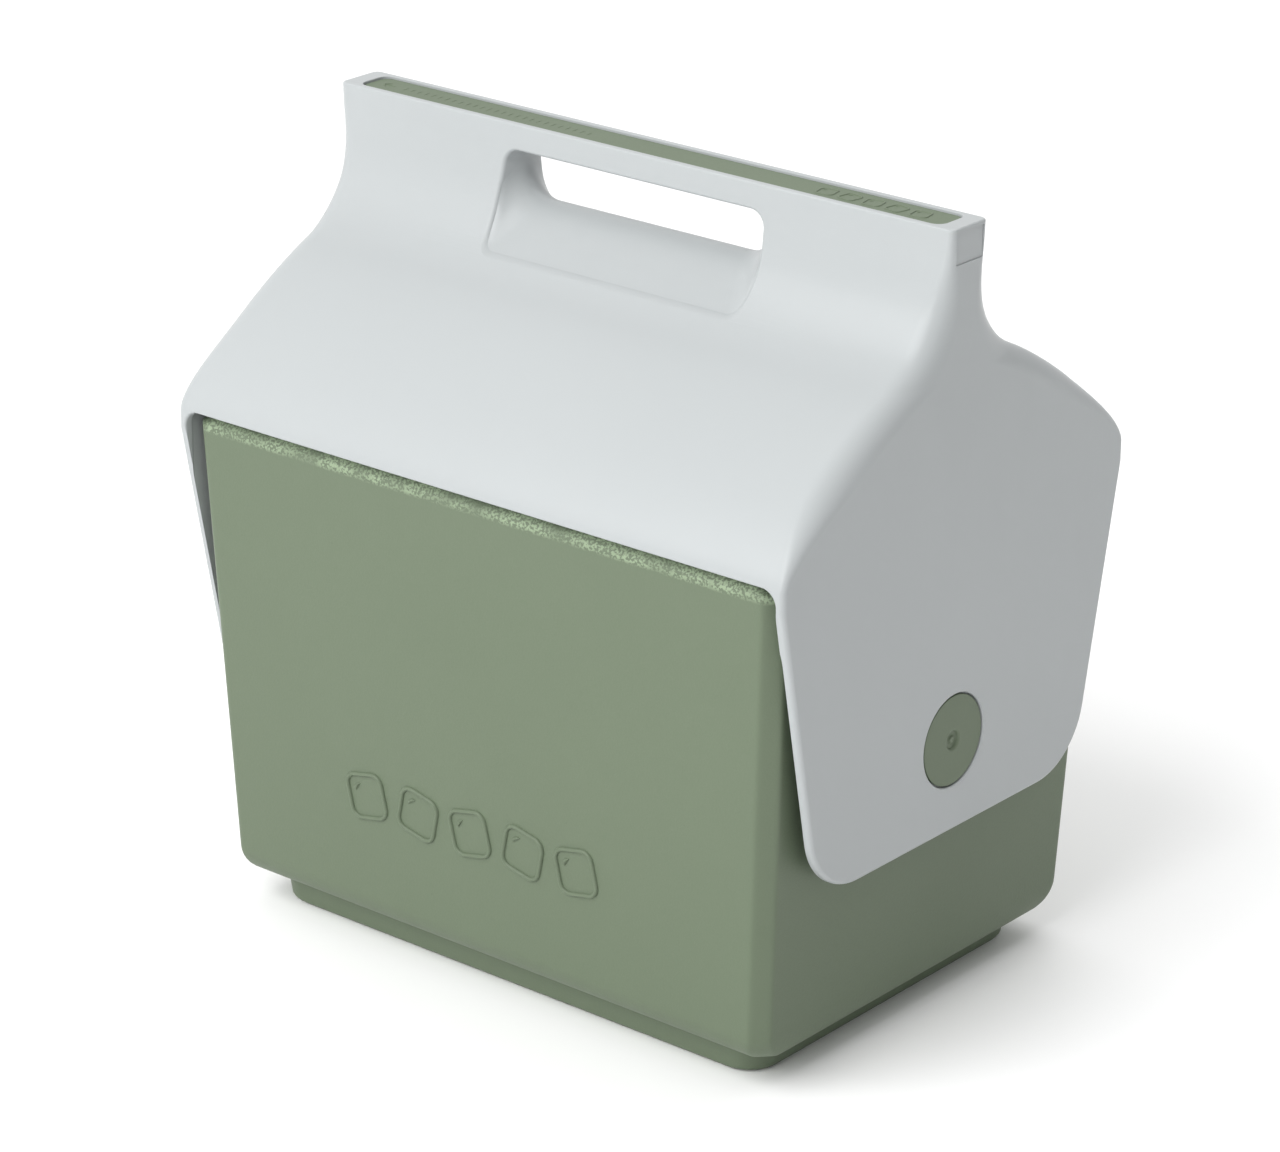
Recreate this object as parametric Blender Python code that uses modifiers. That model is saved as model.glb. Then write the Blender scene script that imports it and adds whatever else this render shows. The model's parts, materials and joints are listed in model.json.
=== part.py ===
"""Personal tent-top cooler: an insulated box under a swing lid with a carrying slot.

Frame: +Z up, X along the long sides, Y across. The origin is the centre of the footprint on the
ground. The plain long side faces -Y and the latch side faces +Y. The lid turns about the X axis
line through the two pivot plugs, and its top travels towards -Y as it opens.
"""

from math import acos, asin, atan2, cos, hypot, pi, radians, sin, sqrt, tan

import bmesh
import bpy
from mathutils import Matrix, Vector
from mathutils.geometry import interpolate_bezier

MM = 0.001

# ---------------------------------------------------------------- driving sizes
LID_WIDTH = 280 * MM
LID_DEPTH = 198 * MM
PIVOT_HEIGHT = 111 * MM
LID_EDGE_Z = 196 * MM
LID_WALL = 3.0 * MM
LID_END_WALL = 3.2 * MM

NECK_DEPTH = 20 * MM
NECK_STRAIGHT = 8 * MM
NECK_FOOT_DEPTH = 74 * MM
NECK_FOOT_ABOVE_VAULT = 7.3 * MM
SHOULDER_SLOPE = -0.47

SLOT_WIDTH = 127 * MM
SLOT_HEIGHT = 35.5 * MM
SLOT_ABOVE_VAULT = 14.8 * MM
SLOT_MOUTH_RADIUS = 9 * MM
SLOT_ROOF_RADIUS = 6 * MM
SLOT_CREST_RISE = 16.5 * MM
SLOT_CREST_RADIUS = 13 * MM
SLOT_CREST_REACH = 28 * MM
SLOT_NARROWING = 6 * MM
SLOT_STEPS = 7
BAR_HEIGHT = 10 * MM

FLAP_DROP = 35 * MM
FLAP_TAPER = 22.5 * MM
FLAP_SHOULDER_DROP = 6 * MM
FLAP_CORNER_RADIUS = 28 * MM
FLAP_BOSS_HEIGHT = 1.8 * MM
FLAP_BOSS_RADIUS = 22 * MM
FLAP_LEDGE = 2.9 * MM
FLAP_CLEARANCE = 1.5 * MM
WINDOW_CORNER_RADIUS = 6 * MM
WINDOW_END_INSET = 0.5 * MM

BODY_BOTTOM_Z = 12 * MM
BODY_GAP_BELOW_LID = 1.0 * MM
BODY_TOP_STEP_Y = 2 * MM
BODY_TAPER_X = 8.3 * MM
BODY_TAPER_Y = 6.5 * MM
BODY_WALL = 2.5 * MM
BODY_CORNER = 8 * MM
BODY_FOOT_RADIUS_X = 4 * MM
BODY_FOOT_RADIUS_Y = 11 * MM
BODY_TOP_EDGE_X = 7 * MM
BODY_TOP_EDGE_Y = 5 * MM
BODY_OPENING_INSET = 15 * MM
TOP_FLANGE = 3.5 * MM
BODY_BOSS_RADIUS = 24 * MM

PAN_INSET_X = 11 * MM
PAN_INSET_Y = 11.5 * MM
PAN_TAPER = 1 * MM
PAN_WALL = 2.0 * MM
PAN_EDGE_RADIUS = 3 * MM
PAN_CORNER = 12 * MM
PAN_COLLAR_HEIGHT = 7 * MM

LINER_WALL = 1.8 * MM
LINER_INSET_X = 16.8 * MM
LINER_INSET_Y = 17.5 * MM
LINER_TAPER = 7 * MM
LINER_FLOOR_Z = 28 * MM
LINER_CORNER = 18 * MM
LINER_FLOOR_RADIUS = 8 * MM
RIM_INSET_X = 7.8 * MM
RIM_INSET_Y = 6.5 * MM
RIM_ROUND = 2 * MM
RIM_SEAT_GAP = 0.5 * MM

VAULT_CLEARANCE = 2.14 * MM
VAULT_WALL = 1.5 * MM
VAULT_FOOT_LIFT = 3 * MM
VAULT_END_GAP = 0.8 * MM
LID_FOAM_NEAR = 34 * MM
LID_FOAM_FAR_INSET = 11 * MM
LID_FOAM_END_GAP = 9 * MM

STRIP_END_INSET = 7.5 * MM
STRIP_SIDE_INSET = 2.7 * MM
STRIP_THICKNESS = 3.0 * MM
STRIP_RECESS = 0.8 * MM
STRIP_CORNER = 4 * MM
STRIP_FLOOR_WALL = 4 * MM
STRIP_LEG_INSETS = (25 * MM, 60 * MM)
STRIP_LEG_WIDTH = 8 * MM
STRIP_LEG_THICKNESS = 2.4 * MM
STRIP_LEG_HOOK = 0.9 * MM
STRIP_LEG_TIP = 3.0 * MM

PLUG_HEAD_RADIUS = 16.9 * MM
PLUG_HEAD_RECESS = 0.4 * MM
PLUG_SHOULDER_RADIUS = 12 * MM
PLUG_SHANK_RADIUS = 9.2 * MM
PLUG_SHANK_PAST_CLIP = 2.8 * MM
PLUG_EYE_RADIUS = 4 * MM
PLUG_EYE_DEPTH = 0.6 * MM
PLUG_GATE_RADIUS = 0.9 * MM
PLUG_GROOVE_DEPTH = 1.6 * MM
PLUG_EDGE = 0.4 * MM
CLIP_THICKNESS = 1.0 * MM
CLIP_WIDTH = 6.3 * MM
BUSHING_WALL = 2.8 * MM
BUSHING_FLANGE_WIDTH = 6.8 * MM
BUSHING_FLANGE_THICKNESS = 1.2 * MM
BUSHING_LENGTH = 11 * MM

BUTTON_WIDTH = 30 * MM
BUTTON_HEIGHT = 18 * MM
BUTTON_ABOVE_EDGE = 7 * MM
BUTTON_CORNER = 5 * MM
BUTTON_PROUD = 0.4 * MM
BUTTON_SKIN = 2.0 * MM
BUTTON_TRAVEL = 1.0 * MM
BUTTON_LIP = 3.0 * MM
BUTTON_LIP_THICKNESS = 0.8 * MM
BUTTON_LIP_RISE = 8.0 * MM
HOOK_ARM_WIDTH = 14 * MM
HOOK_ARM_INSET = 7 * MM
HOOK_ARM_THICKNESS = 1.6 * MM
HOOK_DROP = 8 * MM
HOOK_NOSE_HEIGHT = 1.5 * MM
HOOK_NOSE_REACH = 0.65 * MM
HOOK_ROOM = 2 * MM
HOOK_ROOT = 2.8 * MM
LATCH_ROOM_ABOVE = 8 * MM
LATCH_ENGAGEMENT = 0.3 * MM
STRIKE_WIDTH = 42 * MM
STRIKE_THICKNESS = 0.9 * MM
STRIKE_ABOVE_HOOK = 3.4 * MM
STRIKE_BELOW_HOOK = 7 * MM
STRIKE_PLAY = 0.4 * MM
STRIKE_SCREW_X = 16 * MM
STRIKE_SCREW_DROP = 2.5 * MM
SCREW_HEAD_RADIUS = 2.2 * MM
SCREW_HEAD_HEIGHT = 1.0 * MM
SCREW_SHANK_RADIUS = 1.1 * MM
SCREW_SHANK_LENGTH = 2.4 * MM
SPRING_WIDTH = 8 * MM
SPRING_THICKNESS = 0.4 * MM
SPRING_HALF_SPAN = 5.5 * MM
SPRING_RISE = 3.0 * MM

GAP = 0.3 * MM
RUNNING_GAP = 0.3 * MM
PAST = 20 * MM

ARC_STEPS = 5
CORNER_STEPS = 5
ROUND_SIDES = 32
SCREW_SIDES = 24
VAULT_STEPS = 24
PROFILE_STEPS = 8

# ---------------------------------------------------------------- sizes that follow
HALF_WIDTH = LID_WIDTH / 2
LID_HALF_DEPTH = LID_DEPTH / 2
FLAP_INNER_X = HALF_WIDTH - LID_END_WALL
FLAP_BOTTOM_Z = PIVOT_HEIGHT - FLAP_DROP
FLAP_SHOULDER_Z = LID_EDGE_Z - FLAP_SHOULDER_DROP

BODY_TOP_Z = LID_EDGE_Z - BODY_GAP_BELOW_LID
BODY_TOP_HALF_X = FLAP_INNER_X - FLAP_CLEARANCE
BODY_TOP_HALF_Y = LID_HALF_DEPTH - BODY_TOP_STEP_Y
BODY_BOTTOM_HALF_X = BODY_TOP_HALF_X - BODY_TAPER_X
BODY_BOTTOM_HALF_Y = BODY_TOP_HALF_Y - BODY_TAPER_Y
OPENING_HALF_X = BODY_BOTTOM_HALF_X - BODY_OPENING_INSET
OPENING_HALF_Y = BODY_BOTTOM_HALF_Y - BODY_OPENING_INSET
PAN_TOP_Z = BODY_BOTTOM_Z - GAP
RIM_TOP_Z = BODY_TOP_Z + RIM_SEAT_GAP + LINER_WALL
RIM_HALF_X = BODY_TOP_HALF_X - RIM_INSET_X
RIM_HALF_Y = BODY_TOP_HALF_Y - RIM_INSET_Y

VAULT_RADIUS = hypot(RIM_HALF_Y, RIM_TOP_Z - PIVOT_HEIGHT) + VAULT_CLEARANCE
VAULT_OUTER_RADIUS = VAULT_RADIUS + VAULT_WALL
VAULT_CROWN_Z = PIVOT_HEIGHT + VAULT_OUTER_RADIUS

NECK_FOOT_Z = VAULT_CROWN_Z + NECK_FOOT_ABOVE_VAULT
SLOT_FLOOR_Z = VAULT_CROWN_Z + SLOT_ABOVE_VAULT
SLOT_ROOF_Z = SLOT_FLOOR_Z + SLOT_HEIGHT
HEIGHT = SLOT_ROOF_Z + BAR_HEIGHT
STRIP_POCKET_FLOOR_Z = HEIGHT - STRIP_RECESS - STRIP_THICKNESS - GAP
NECK_CAVITY_TOP_Z = STRIP_POCKET_FLOOR_Z - STRIP_FLOOR_WALL

FLAP_BOSS_FACE_X = FLAP_INNER_X - FLAP_BOSS_HEIGHT
COUNTERBORE_FLOOR_X = FLAP_BOSS_FACE_X + FLAP_LEDGE
BODY_BOSS_FACE_X = FLAP_BOSS_FACE_X - 2 * GAP - BUSHING_FLANGE_THICKNESS
BUSHING_BORE_RADIUS = PLUG_SHANK_RADIUS + RUNNING_GAP / 2
BUSHING_OUTER_RADIUS = BUSHING_BORE_RADIUS + BUSHING_WALL
BUSHING_FLANGE_FACE_X = FLAP_BOSS_FACE_X - GAP
BUSHING_END_X = BUSHING_FLANGE_FACE_X - BUSHING_LENGTH

BUTTON_LOW_Z = LID_EDGE_Z + BUTTON_ABOVE_EDGE
BUTTON_HIGH_Z = BUTTON_LOW_Z + BUTTON_HEIGHT
HOOK_ARM_OUTER_Y = LID_HALF_DEPTH - HOOK_ARM_INSET
HOOK_ARM_INNER_Y = HOOK_ARM_OUTER_Y - HOOK_ARM_THICKNESS
HOOK_BOTTOM_Z = LID_EDGE_Z - HOOK_DROP
HOOK_REACH = hypot(HOOK_ARM_INNER_Y - BUTTON_TRAVEL, HOOK_BOTTOM_Z - PIVOT_HEIGHT) - GAP
STRIKE_LOW_Z = HOOK_BOTTOM_Z - STRIKE_BELOW_HOOK
STRIKE_HIGH_Z = HOOK_BOTTOM_Z + STRIKE_ABOVE_HOOK
STRIKE_SCREW_Z = HOOK_BOTTOM_Z - STRIKE_SCREW_DROP
STRIKE_INNER_Y = HOOK_ARM_OUTER_Y + HOOK_NOSE_REACH - LATCH_ENGAGEMENT
STRIKE_OUTER_Y = STRIKE_INNER_Y + STRIKE_THICKNESS
SCREW_SEAT_Y = STRIKE_INNER_Y - GAP / 2
SCREW_TIP_Y = SCREW_SEAT_Y + SCREW_SHANK_LENGTH


# ---------------------------------------------------------------- scene helpers
def clear_scene():
    for obj in list(bpy.data.objects):
        bpy.data.objects.remove(obj)


def new_collection(name):
    collection = bpy.data.collections.new(name)
    bpy.context.scene.collection.children.link(collection)
    return collection


def plastic(name, color, roughness, metallic=0.0):
    material = bpy.data.materials.new(name)
    material.use_nodes = True
    shader = material.node_tree.nodes["Principled BSDF"]
    shader.inputs["Base Color"].default_value = (*color, 1.0)
    shader.inputs["Roughness"].default_value = roughness
    shader.inputs["Metallic"].default_value = metallic
    return material


def place(name, mesh, material=None):
    """Put a mesh in the scene as a part, or as a hidden cutter when it has no material."""
    obj = bpy.data.objects.new(name, mesh)
    if material is None:
        CUTTERS.objects.link(obj)
        obj.hide_render = True
        obj.display_type = "WIRE"
        return obj
    mesh.materials.clear()
    mesh.materials.append(material)
    mesh.shade_smooth()
    mesh.set_sharp_from_angle(angle=radians(32))
    PARTS.objects.link(obj)
    return obj


def mesh_of(name, bm):
    mesh = bpy.data.meshes.new(name)
    bm.to_mesh(mesh)
    bm.free()
    return mesh


def solidify(obj, thickness):
    modifier = obj.modifiers.new("Wall", "SOLIDIFY")
    modifier.thickness = thickness
    modifier.offset = -1
    modifier.use_even_offset = True
    return obj


def boolean(obj, other, operation):
    modifier = obj.modifiers.new(operation.title(), "BOOLEAN")
    modifier.operation = operation
    modifier.object = other
    modifier.solver = "EXACT"
    return obj


def cut(obj, *cutters):
    for cutter in cutters:
        boolean(obj, cutter, "DIFFERENCE")
    return obj


def join(obj, *others):
    for other in others:
        boolean(obj, other, "UNION")
    return obj


def hang_on(name, location, pieces):
    """Parent pieces to an empty that sits on their joint's axis, without moving them."""
    axis = bpy.data.objects.new(name, None)
    axis.location = location
    axis.empty_display_size = 20 * MM
    PARTS.objects.link(axis)
    for piece in pieces:
        obj = bpy.data.objects[piece]
        obj.parent = axis
        obj.matrix_parent_inverse = Matrix.Translation(-Vector(location))


# ---------------------------------------------------------------- shape helpers
def arc(center, radius, start, end, steps=ARC_STEPS):
    """Points on an arc, angles in degrees, both ends included."""
    points = []
    for i in range(steps + 1):
        angle = radians(start + (end - start) * i / steps)
        points.append((center[0] + radius * cos(angle), center[1] + radius * sin(angle)))
    return points


def round_corner(steps=CORNER_STEPS):
    """A quarter arc in a unit square, from its top side to its right side."""
    return [(sin(pi / 2 * i / steps), cos(pi / 2 * i / steps)) for i in range(steps + 1)]


def soft_chamfer(ease=0.22, steps=2):
    """A flat chamfer with eased ends in the same unit square."""
    past = 2 * ease
    first = interpolate_bezier((0, 1, 0), (ease, 1, 0), (ease, 1, 0), (past, 1 + ease - past, 0), steps + 1)
    points = [(p[0], p[1]) for p in first]
    return points + [(v, u) for u, v in reversed(points)]


ROUND = round_corner()
CHAMFERED = soft_chamfer()


def ring(half_x, half_y, z, leg_x, leg_y=None, corner=ROUND):
    """One level section: a rectangle whose corners take the unit corner shape, run anticlockwise."""
    leg_y = leg_x if leg_y is None else leg_y
    quarter = [(half_x - leg_x * (1 - u), half_y - leg_y * (1 - v)) for u, v in corner]
    right = quarter[::-1]
    points = list(right)
    points += [(-x, y) for x, y in quarter]
    points += [(-x, -y) for x, y in right]
    points += [(x, -y) for x, y in quarter]
    return [(x, y, z) for x, y in points]


def loft(name, rings, material=None, close_end=True, flip=False, tube=False):
    """Quads between rings of equal count, listed upwards with the faces outwards."""
    bm = bmesh.new()
    loops = [[bm.verts.new(point) for point in points] for points in rings]
    pairs = list(zip(loops, loops[1:])) + ([(loops[-1], loops[0])] if tube else [])
    for lower, upper in pairs:
        for i in range(len(lower)):
            j = (i + 1) % len(lower)
            bm.faces.new((lower[i], lower[j], upper[j], upper[i]))
    if not tube:
        bm.faces.new(loops[0][::-1])
        if close_end:
            bm.faces.new(loops[-1])
    if flip:
        bmesh.ops.reverse_faces(bm, faces=bm.faces)
    return place(name, mesh_of(name, bm), material)


def prism(name, outline, start, end, axis, material=None):
    """A flat outline drawn out along X, Y or Z from start to end."""
    curve = bpy.data.curves.new(name, "CURVE")
    curve.dimensions = "2D"
    curve.fill_mode = "BOTH"
    curve.extrude = (end - start) / 2
    spline = curve.splines.new("POLY")
    spline.points.add(len(outline) - 1)
    for point, (u, v) in zip(spline.points, outline):
        point.co = (u, v, 0, 1)
    spline.use_cyclic_u = True
    drawn = bpy.data.objects.new(name, curve)
    bpy.context.scene.collection.objects.link(drawn)
    bpy.context.view_layer.update()
    mesh = bpy.data.meshes.new_from_object(drawn.evaluated_get(bpy.context.evaluated_depsgraph_get()))
    bpy.data.objects.remove(drawn)
    bpy.data.curves.remove(curve)
    turn = {
        "X": Matrix(((0, 0, 1), (1, 0, 0), (0, 1, 0))),
        "Y": Matrix(((1, 0, 0), (0, 0, -1), (0, 1, 0))),
        "Z": Matrix.Identity(3),
    }[axis]
    middle = Vector([(start + end) / 2 if axis == letter else 0 for letter in "XYZ"])
    bm = bmesh.new()
    bm.from_mesh(mesh)
    bmesh.ops.remove_doubles(bm, verts=bm.verts, dist=1e-6)
    bmesh.ops.transform(bm, matrix=Matrix.Translation(middle) @ turn.to_4x4(), verts=bm.verts)
    bmesh.ops.recalc_face_normals(bm, faces=bm.faces)
    bpy.data.meshes.remove(mesh)
    return place(name, mesh_of(name, bm), material)


def block(name, low, high, material=None):
    """A box between two corners."""
    bm = bmesh.new()
    bmesh.ops.create_cube(bm, size=1)
    size = Vector(high) - Vector(low)
    middle = (Vector(high) + Vector(low)) / 2
    bmesh.ops.transform(bm, matrix=Matrix.Translation(middle) @ Matrix.Diagonal((*size, 1)), verts=bm.verts)
    return place(name, mesh_of(name, bm), material)


def rod_along_x(name, radius, start, end):
    """A closed cylinder on the pivots' axis."""
    bm = bmesh.new()
    size = {"radius1": radius, "radius2": radius, "depth": end - start}
    bmesh.ops.create_cone(bm, cap_ends=True, segments=ROUND_SIDES, **size)
    turn = Matrix.Translation(((start + end) / 2, 0, PIVOT_HEIGHT)) @ Matrix.Rotation(pi / 2, 4, "Y")
    bmesh.ops.transform(bm, matrix=turn, verts=bm.verts)
    return place(name, mesh_of(name, bm))


def turned(name, profile, material, location, rotation, sides=ROUND_SIDES):
    """A profile of (radius, distance along the axis) spun about its own Z and set in place."""
    bm = bmesh.new()
    verts = [bm.verts.new((radius, 0, height)) for radius, height in profile]
    for a, b in zip(verts, verts[1:]):
        bm.edges.new((a, b))
    if profile[0][0] > 0:
        bm.edges.new((verts[-1], verts[0]))
    obj = place(name, mesh_of(name, bm), material)
    screw = obj.modifiers.new("Turn", "SCREW")
    screw.axis = "Z"
    screw.steps = sides
    screw.render_steps = sides
    screw.use_merge_vertices = True
    screw.merge_threshold = 0.00001
    screw.use_smooth_shade = True
    obj.location = location
    obj.rotation_euler = rotation
    return obj


def rounded_rectangle(half_u, low_v, high_v, low_radius, high_radius):
    """Outline points, anticlockwise, with separate radii for the low and the high corners."""
    points = arc((half_u - low_radius, low_v + low_radius), low_radius, -90, 0)
    points += arc((half_u - high_radius, high_v - high_radius), high_radius, 0, 90)
    points += arc((-half_u + high_radius, high_v - high_radius), high_radius, 90, 180)
    points += arc((-half_u + low_radius, low_v + low_radius), low_radius, 180, 270)
    return points


def ease(value, start, end):
    share = min(1.0, max(0.0, (value - start) / (end - start)))
    return share * share * (3 - 2 * share)


# ---------------------------------------------------------------- the lid's side profile
def lid_profile():
    """Half of the lid's outline seen from the end, as (y, z) from the lower edge up to the top."""
    neck = NECK_DEPTH / 2
    lean = Vector((1, SHOULDER_SLOPE))
    low = Vector((LID_HALF_DEPTH, LID_EDGE_Z))
    knee = Vector((NECK_FOOT_DEPTH / 2, NECK_FOOT_Z))
    shoulder = interpolate_bezier(
        low.to_3d(),
        (low + Vector((-2.5, 14)) * MM).to_3d(),
        (knee + lean * 25 * MM).to_3d(),
        knee.to_3d(),
        PROFILE_STEPS + 1,
    )
    rise = Vector((neck, HEIGHT - NECK_STRAIGHT))
    flare = interpolate_bezier(
        knee.to_3d(),
        (knee - lean * 18 * MM).to_3d(),
        (rise + Vector((0.4, -20)) * MM).to_3d(),
        rise.to_3d(),
        PROFILE_STEPS + 1,
    )
    points = [(p[0], p[1]) for p in shoulder] + [(p[0], p[1]) for p in flare[1:]]
    return points + [(neck, HEIGHT)]


def inward(points, distance):
    """The same profile moved inwards along its normals."""
    moved = []
    for i, (y, z) in enumerate(points):
        before = points[max(0, i - 1)]
        after = points[min(len(points) - 1, i + 1)]
        dy, dz = after[0] - before[0], after[1] - before[1]
        length = hypot(dy, dz)
        moved.append((y - distance * dz / length, z + distance * dy / length))
    return moved


def steepness(points, i):
    before = points[max(0, i - 1)]
    after = points[min(len(points) - 1, i + 1)]
    dy, dz = after[0] - before[0], after[1] - before[1]
    return max(0.4, dz / hypot(dy, dz))


def end_rounding(z):
    """How far the lid's long faces round into its ends at this height."""
    least, most = 2.5 * MM, 10 * MM
    swell = ease(z, LID_EDGE_Z, LID_EDGE_Z + 30 * MM) * (1 - ease(z, HEIGHT - 38 * MM, HEIGHT - 2 * MM))
    return least + (most - least) * swell


def lid_rings(inset=0.0, end_x=HALF_WIDTH, bottom_z=FLAP_BOTTOM_Z, top_z=HEIGHT):
    """Level sections of the lid's outside, or of its cavity when inset by the wall."""
    outer = lid_profile()
    moved = inward(outer, inset)
    kept = [(i, y, z) for i, (y, z) in enumerate(moved) if LID_EDGE_Z - PAST < z < top_z - MM]
    rings = []
    for i, y, z in [(0, moved[0][0], bottom_z)] + kept + [(len(outer) - 1, moved[-1][0], top_z)]:
        leg_x = max(1.5 * MM, end_rounding(outer[i][1]) - inset)
        leg_y = min(leg_x / steepness(outer, i), y - MM)
        rings.append(ring(end_x, y, z, leg_x, leg_y))
    return rings


def band_outline(outer_inset, inner_inset, low_z, high_z):
    """A strip that follows the lid's profile between two depths and two heights, as (y, z)."""
    fine = lid_profile()
    outer = [p for p in inward(fine, outer_inset) if low_z - 4 * MM < p[1] < high_z + 4 * MM]
    inner = [p for p in inward(fine, inner_inset) if low_z - 4 * MM < p[1] < high_z + 4 * MM]
    return outer + inner[::-1]


# ---------------------------------------------------------------- lid
def flap_side():
    """The edge of an end flap at +Y, from the shoulder down to the middle of its lower edge."""
    top = Vector((LID_HALF_DEPTH, FLAP_SHOULDER_Z))
    corner = Vector((LID_HALF_DEPTH - FLAP_TAPER, FLAP_BOTTOM_Z))
    lean = atan2(top.x - corner.x, top.y - corner.y)
    back = FLAP_CORNER_RADIUS * tan((pi / 2 - lean) / 2)
    center = (corner.x - back, corner.y + FLAP_CORNER_RADIUS)
    end_angle = -lean * 180 / pi
    return [tuple(top)] + arc(center, FLAP_CORNER_RADIUS, end_angle, -90, 2 * ARC_STEPS)


def flap_surround():
    """Everything around and below the end flaps, as one outline."""
    right = flap_side()
    left = [(-y, z) for y, z in reversed(right)]
    far_y, far_z = LID_HALF_DEPTH + PAST, FLAP_BOTTOM_Z - PAST
    frame = [(-far_y, FLAP_SHOULDER_Z), (-far_y, far_z), (far_y, far_z), (far_y, FLAP_SHOULDER_Z)]
    return prism("cut_flap_surround", frame + right + left, -HALF_WIDTH - PAST, HALF_WIDTH + PAST, "X")


def hand_slot():
    """The carrying slot: widest at the lid's two faces, its floor rising to a crest between them."""
    rings = []
    for i in range(-SLOT_STEPS, SLOT_STEPS + 1):
        y = -NECK_FOOT_DEPTH / 2 * i / SLOT_STEPS
        inner = 1 - ease(abs(y), 0, SLOT_CREST_REACH)
        low_radius = SLOT_MOUTH_RADIUS + (SLOT_CREST_RADIUS - SLOT_MOUTH_RADIUS) * inner
        outline = rounded_rectangle(
            SLOT_WIDTH / 2 - SLOT_NARROWING * inner,
            SLOT_FLOOR_Z + SLOT_CREST_RISE * inner,
            SLOT_ROOF_Z,
            low_radius,
            SLOT_ROOF_RADIUS,
        )
        rings.append([(x, y, z) for x, z in outline])
    return loft("cut_hand_slot", rings)


def build_lid_shell():
    shell = loft("lid_shell", lid_rings(), SHELL_GREY)
    cavity = loft(
        "cut_lid_cavity",
        lid_rings(LID_WALL, FLAP_INNER_X, FLAP_BOTTOM_Z - PAST, NECK_CAVITY_TOP_Z),
    )
    slot_half = SLOT_WIDTH / 2 + LID_WALL
    tunnel_low = SLOT_FLOOR_Z - LID_WALL
    solid_bar = block("cut_bar_kept", (-slot_half, -LID_DEPTH, tunnel_low), (slot_half, LID_DEPTH, HEIGHT))
    cut(cavity, solid_bar)
    window_outline = rounded_rectangle(
        FLAP_INNER_X - WINDOW_END_INSET, FLAP_BOTTOM_Z - PAST, LID_EDGE_Z, MM, WINDOW_CORNER_RADIUS
    )
    window = prism("cut_body_window", window_outline, -LID_HALF_DEPTH - PAST, LID_HALF_DEPTH + PAST, "Y")
    pocket = prism("cut_strip_pocket", strip_outline(GAP), STRIP_POCKET_FLOOR_Z, HEIGHT + PAST, "Z")
    bosses = [
        rod_along_x(f"add_flap_boss_{side}", FLAP_BOSS_RADIUS, *ends)
        for side, ends in (
            ("right", (FLAP_BOSS_FACE_X, HALF_WIDTH - MM)),
            ("left", (-HALF_WIDTH + MM, -FLAP_BOSS_FACE_X)),
        )
    ]
    cut(shell, cavity, window, flap_surround(), hand_slot(), pocket)
    join(shell, *bosses)
    far_x = HALF_WIDTH + PAST
    bore = rod_along_x("cut_pivot_bore", PLUG_SHOULDER_RADIUS + RUNNING_GAP, -far_x, far_x)
    head_radius = PLUG_HEAD_RADIUS + 2 * RUNNING_GAP
    right = rod_along_x("cut_head_right", head_radius, COUNTERBORE_FLOOR_X, far_x)
    left = rod_along_x("cut_head_left", head_radius, -far_x, -COUNTERBORE_FLOOR_X)
    button_room = button_outline(GAP, BUTTON_LOW_Z - GAP, BUTTON_HIGH_Z + GAP)
    button_hole = prism("cut_button_hole", button_room, LID_HALF_DEPTH / 2, LID_HALF_DEPTH + PAST, "Y")
    cut(shell, bore, right, left, button_hole)
    half_x = STRIP_LEG_WIDTH / 2 + GAP
    half_y = STRIP_LEG_THICKNESS / 2 + GAP + STRIP_LEG_HOOK
    for number, leg_x in enumerate(strip_leg_places()):
        low = (leg_x - half_x, -half_y, NECK_CAVITY_TOP_Z - MM)
        high = (leg_x + half_x, half_y, STRIP_POCKET_FLOOR_Z + MM)
        cut(shell, block(f"cut_leg_{number}", low, high))
    return shell


def build_lid_liner():
    """The curved ceiling inside the lid, concentric with the pivots so the body's rim passes under it."""
    half = FLAP_INNER_X - VAULT_END_GAP
    axis = (0, PIVOT_HEIGHT)
    foot = asin((LID_EDGE_Z + VAULT_FOOT_LIFT - PIVOT_HEIGHT) / VAULT_RADIUS) * 180 / pi
    outline = arc(axis, VAULT_OUTER_RADIUS, foot, 180 - foot, VAULT_STEPS)
    outline += arc(axis, VAULT_RADIUS, 180 - foot, foot, VAULT_STEPS)
    liner = prism("lid_liner", outline, -half, half, "X", LINER_WHITE)
    notch_half = HOOK_ARM_WIDTH / 2 + HOOK_ROOM
    notch = block(
        "cut_liner_hook",
        (-notch_half, HOOK_ARM_INNER_Y - BUTTON_TRAVEL - 2 * HOOK_ROOM, BODY_TOP_Z - MM),
        (notch_half, LID_HALF_DEPTH + MM, BUTTON_LOW_Z + BUTTON_CORNER),
    )
    return cut(liner, notch)


def build_lid_foam(name, side):
    """One insulation wedge between the vault and the shell's shoulder."""
    far = LID_HALF_DEPTH - LID_FOAM_FAR_INSET
    shoulder = [p for p in inward(lid_profile(), LID_WALL + 2 * GAP) if LID_FOAM_NEAR < p[0] < far]
    vault = VAULT_OUTER_RADIUS + GAP
    low, high = [acos(shoulder[i][0] / vault) * 180 / pi for i in (0, -1)]
    outline = [(side * y, z) for y, z in shoulder + arc((0, PIVOT_HEIGHT), vault, high, low, 2 * ARC_STEPS)]
    half = FLAP_INNER_X - LID_FOAM_END_GAP
    foam = prism(name, outline, -half, half, "X", FOAM_CREAM)
    if side > 0:
        room = BUTTON_WIDTH / 2 + 2 * BUTTON_LIP
        top_z = BUTTON_HIGH_Z + LATCH_ROOM_ABOVE
        pocket = block("cut_foam_latch", (-room, 0, LID_EDGE_Z), (room, LID_HALF_DEPTH + PAST, top_z))
        cut(foam, pocket)
    return foam


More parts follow.
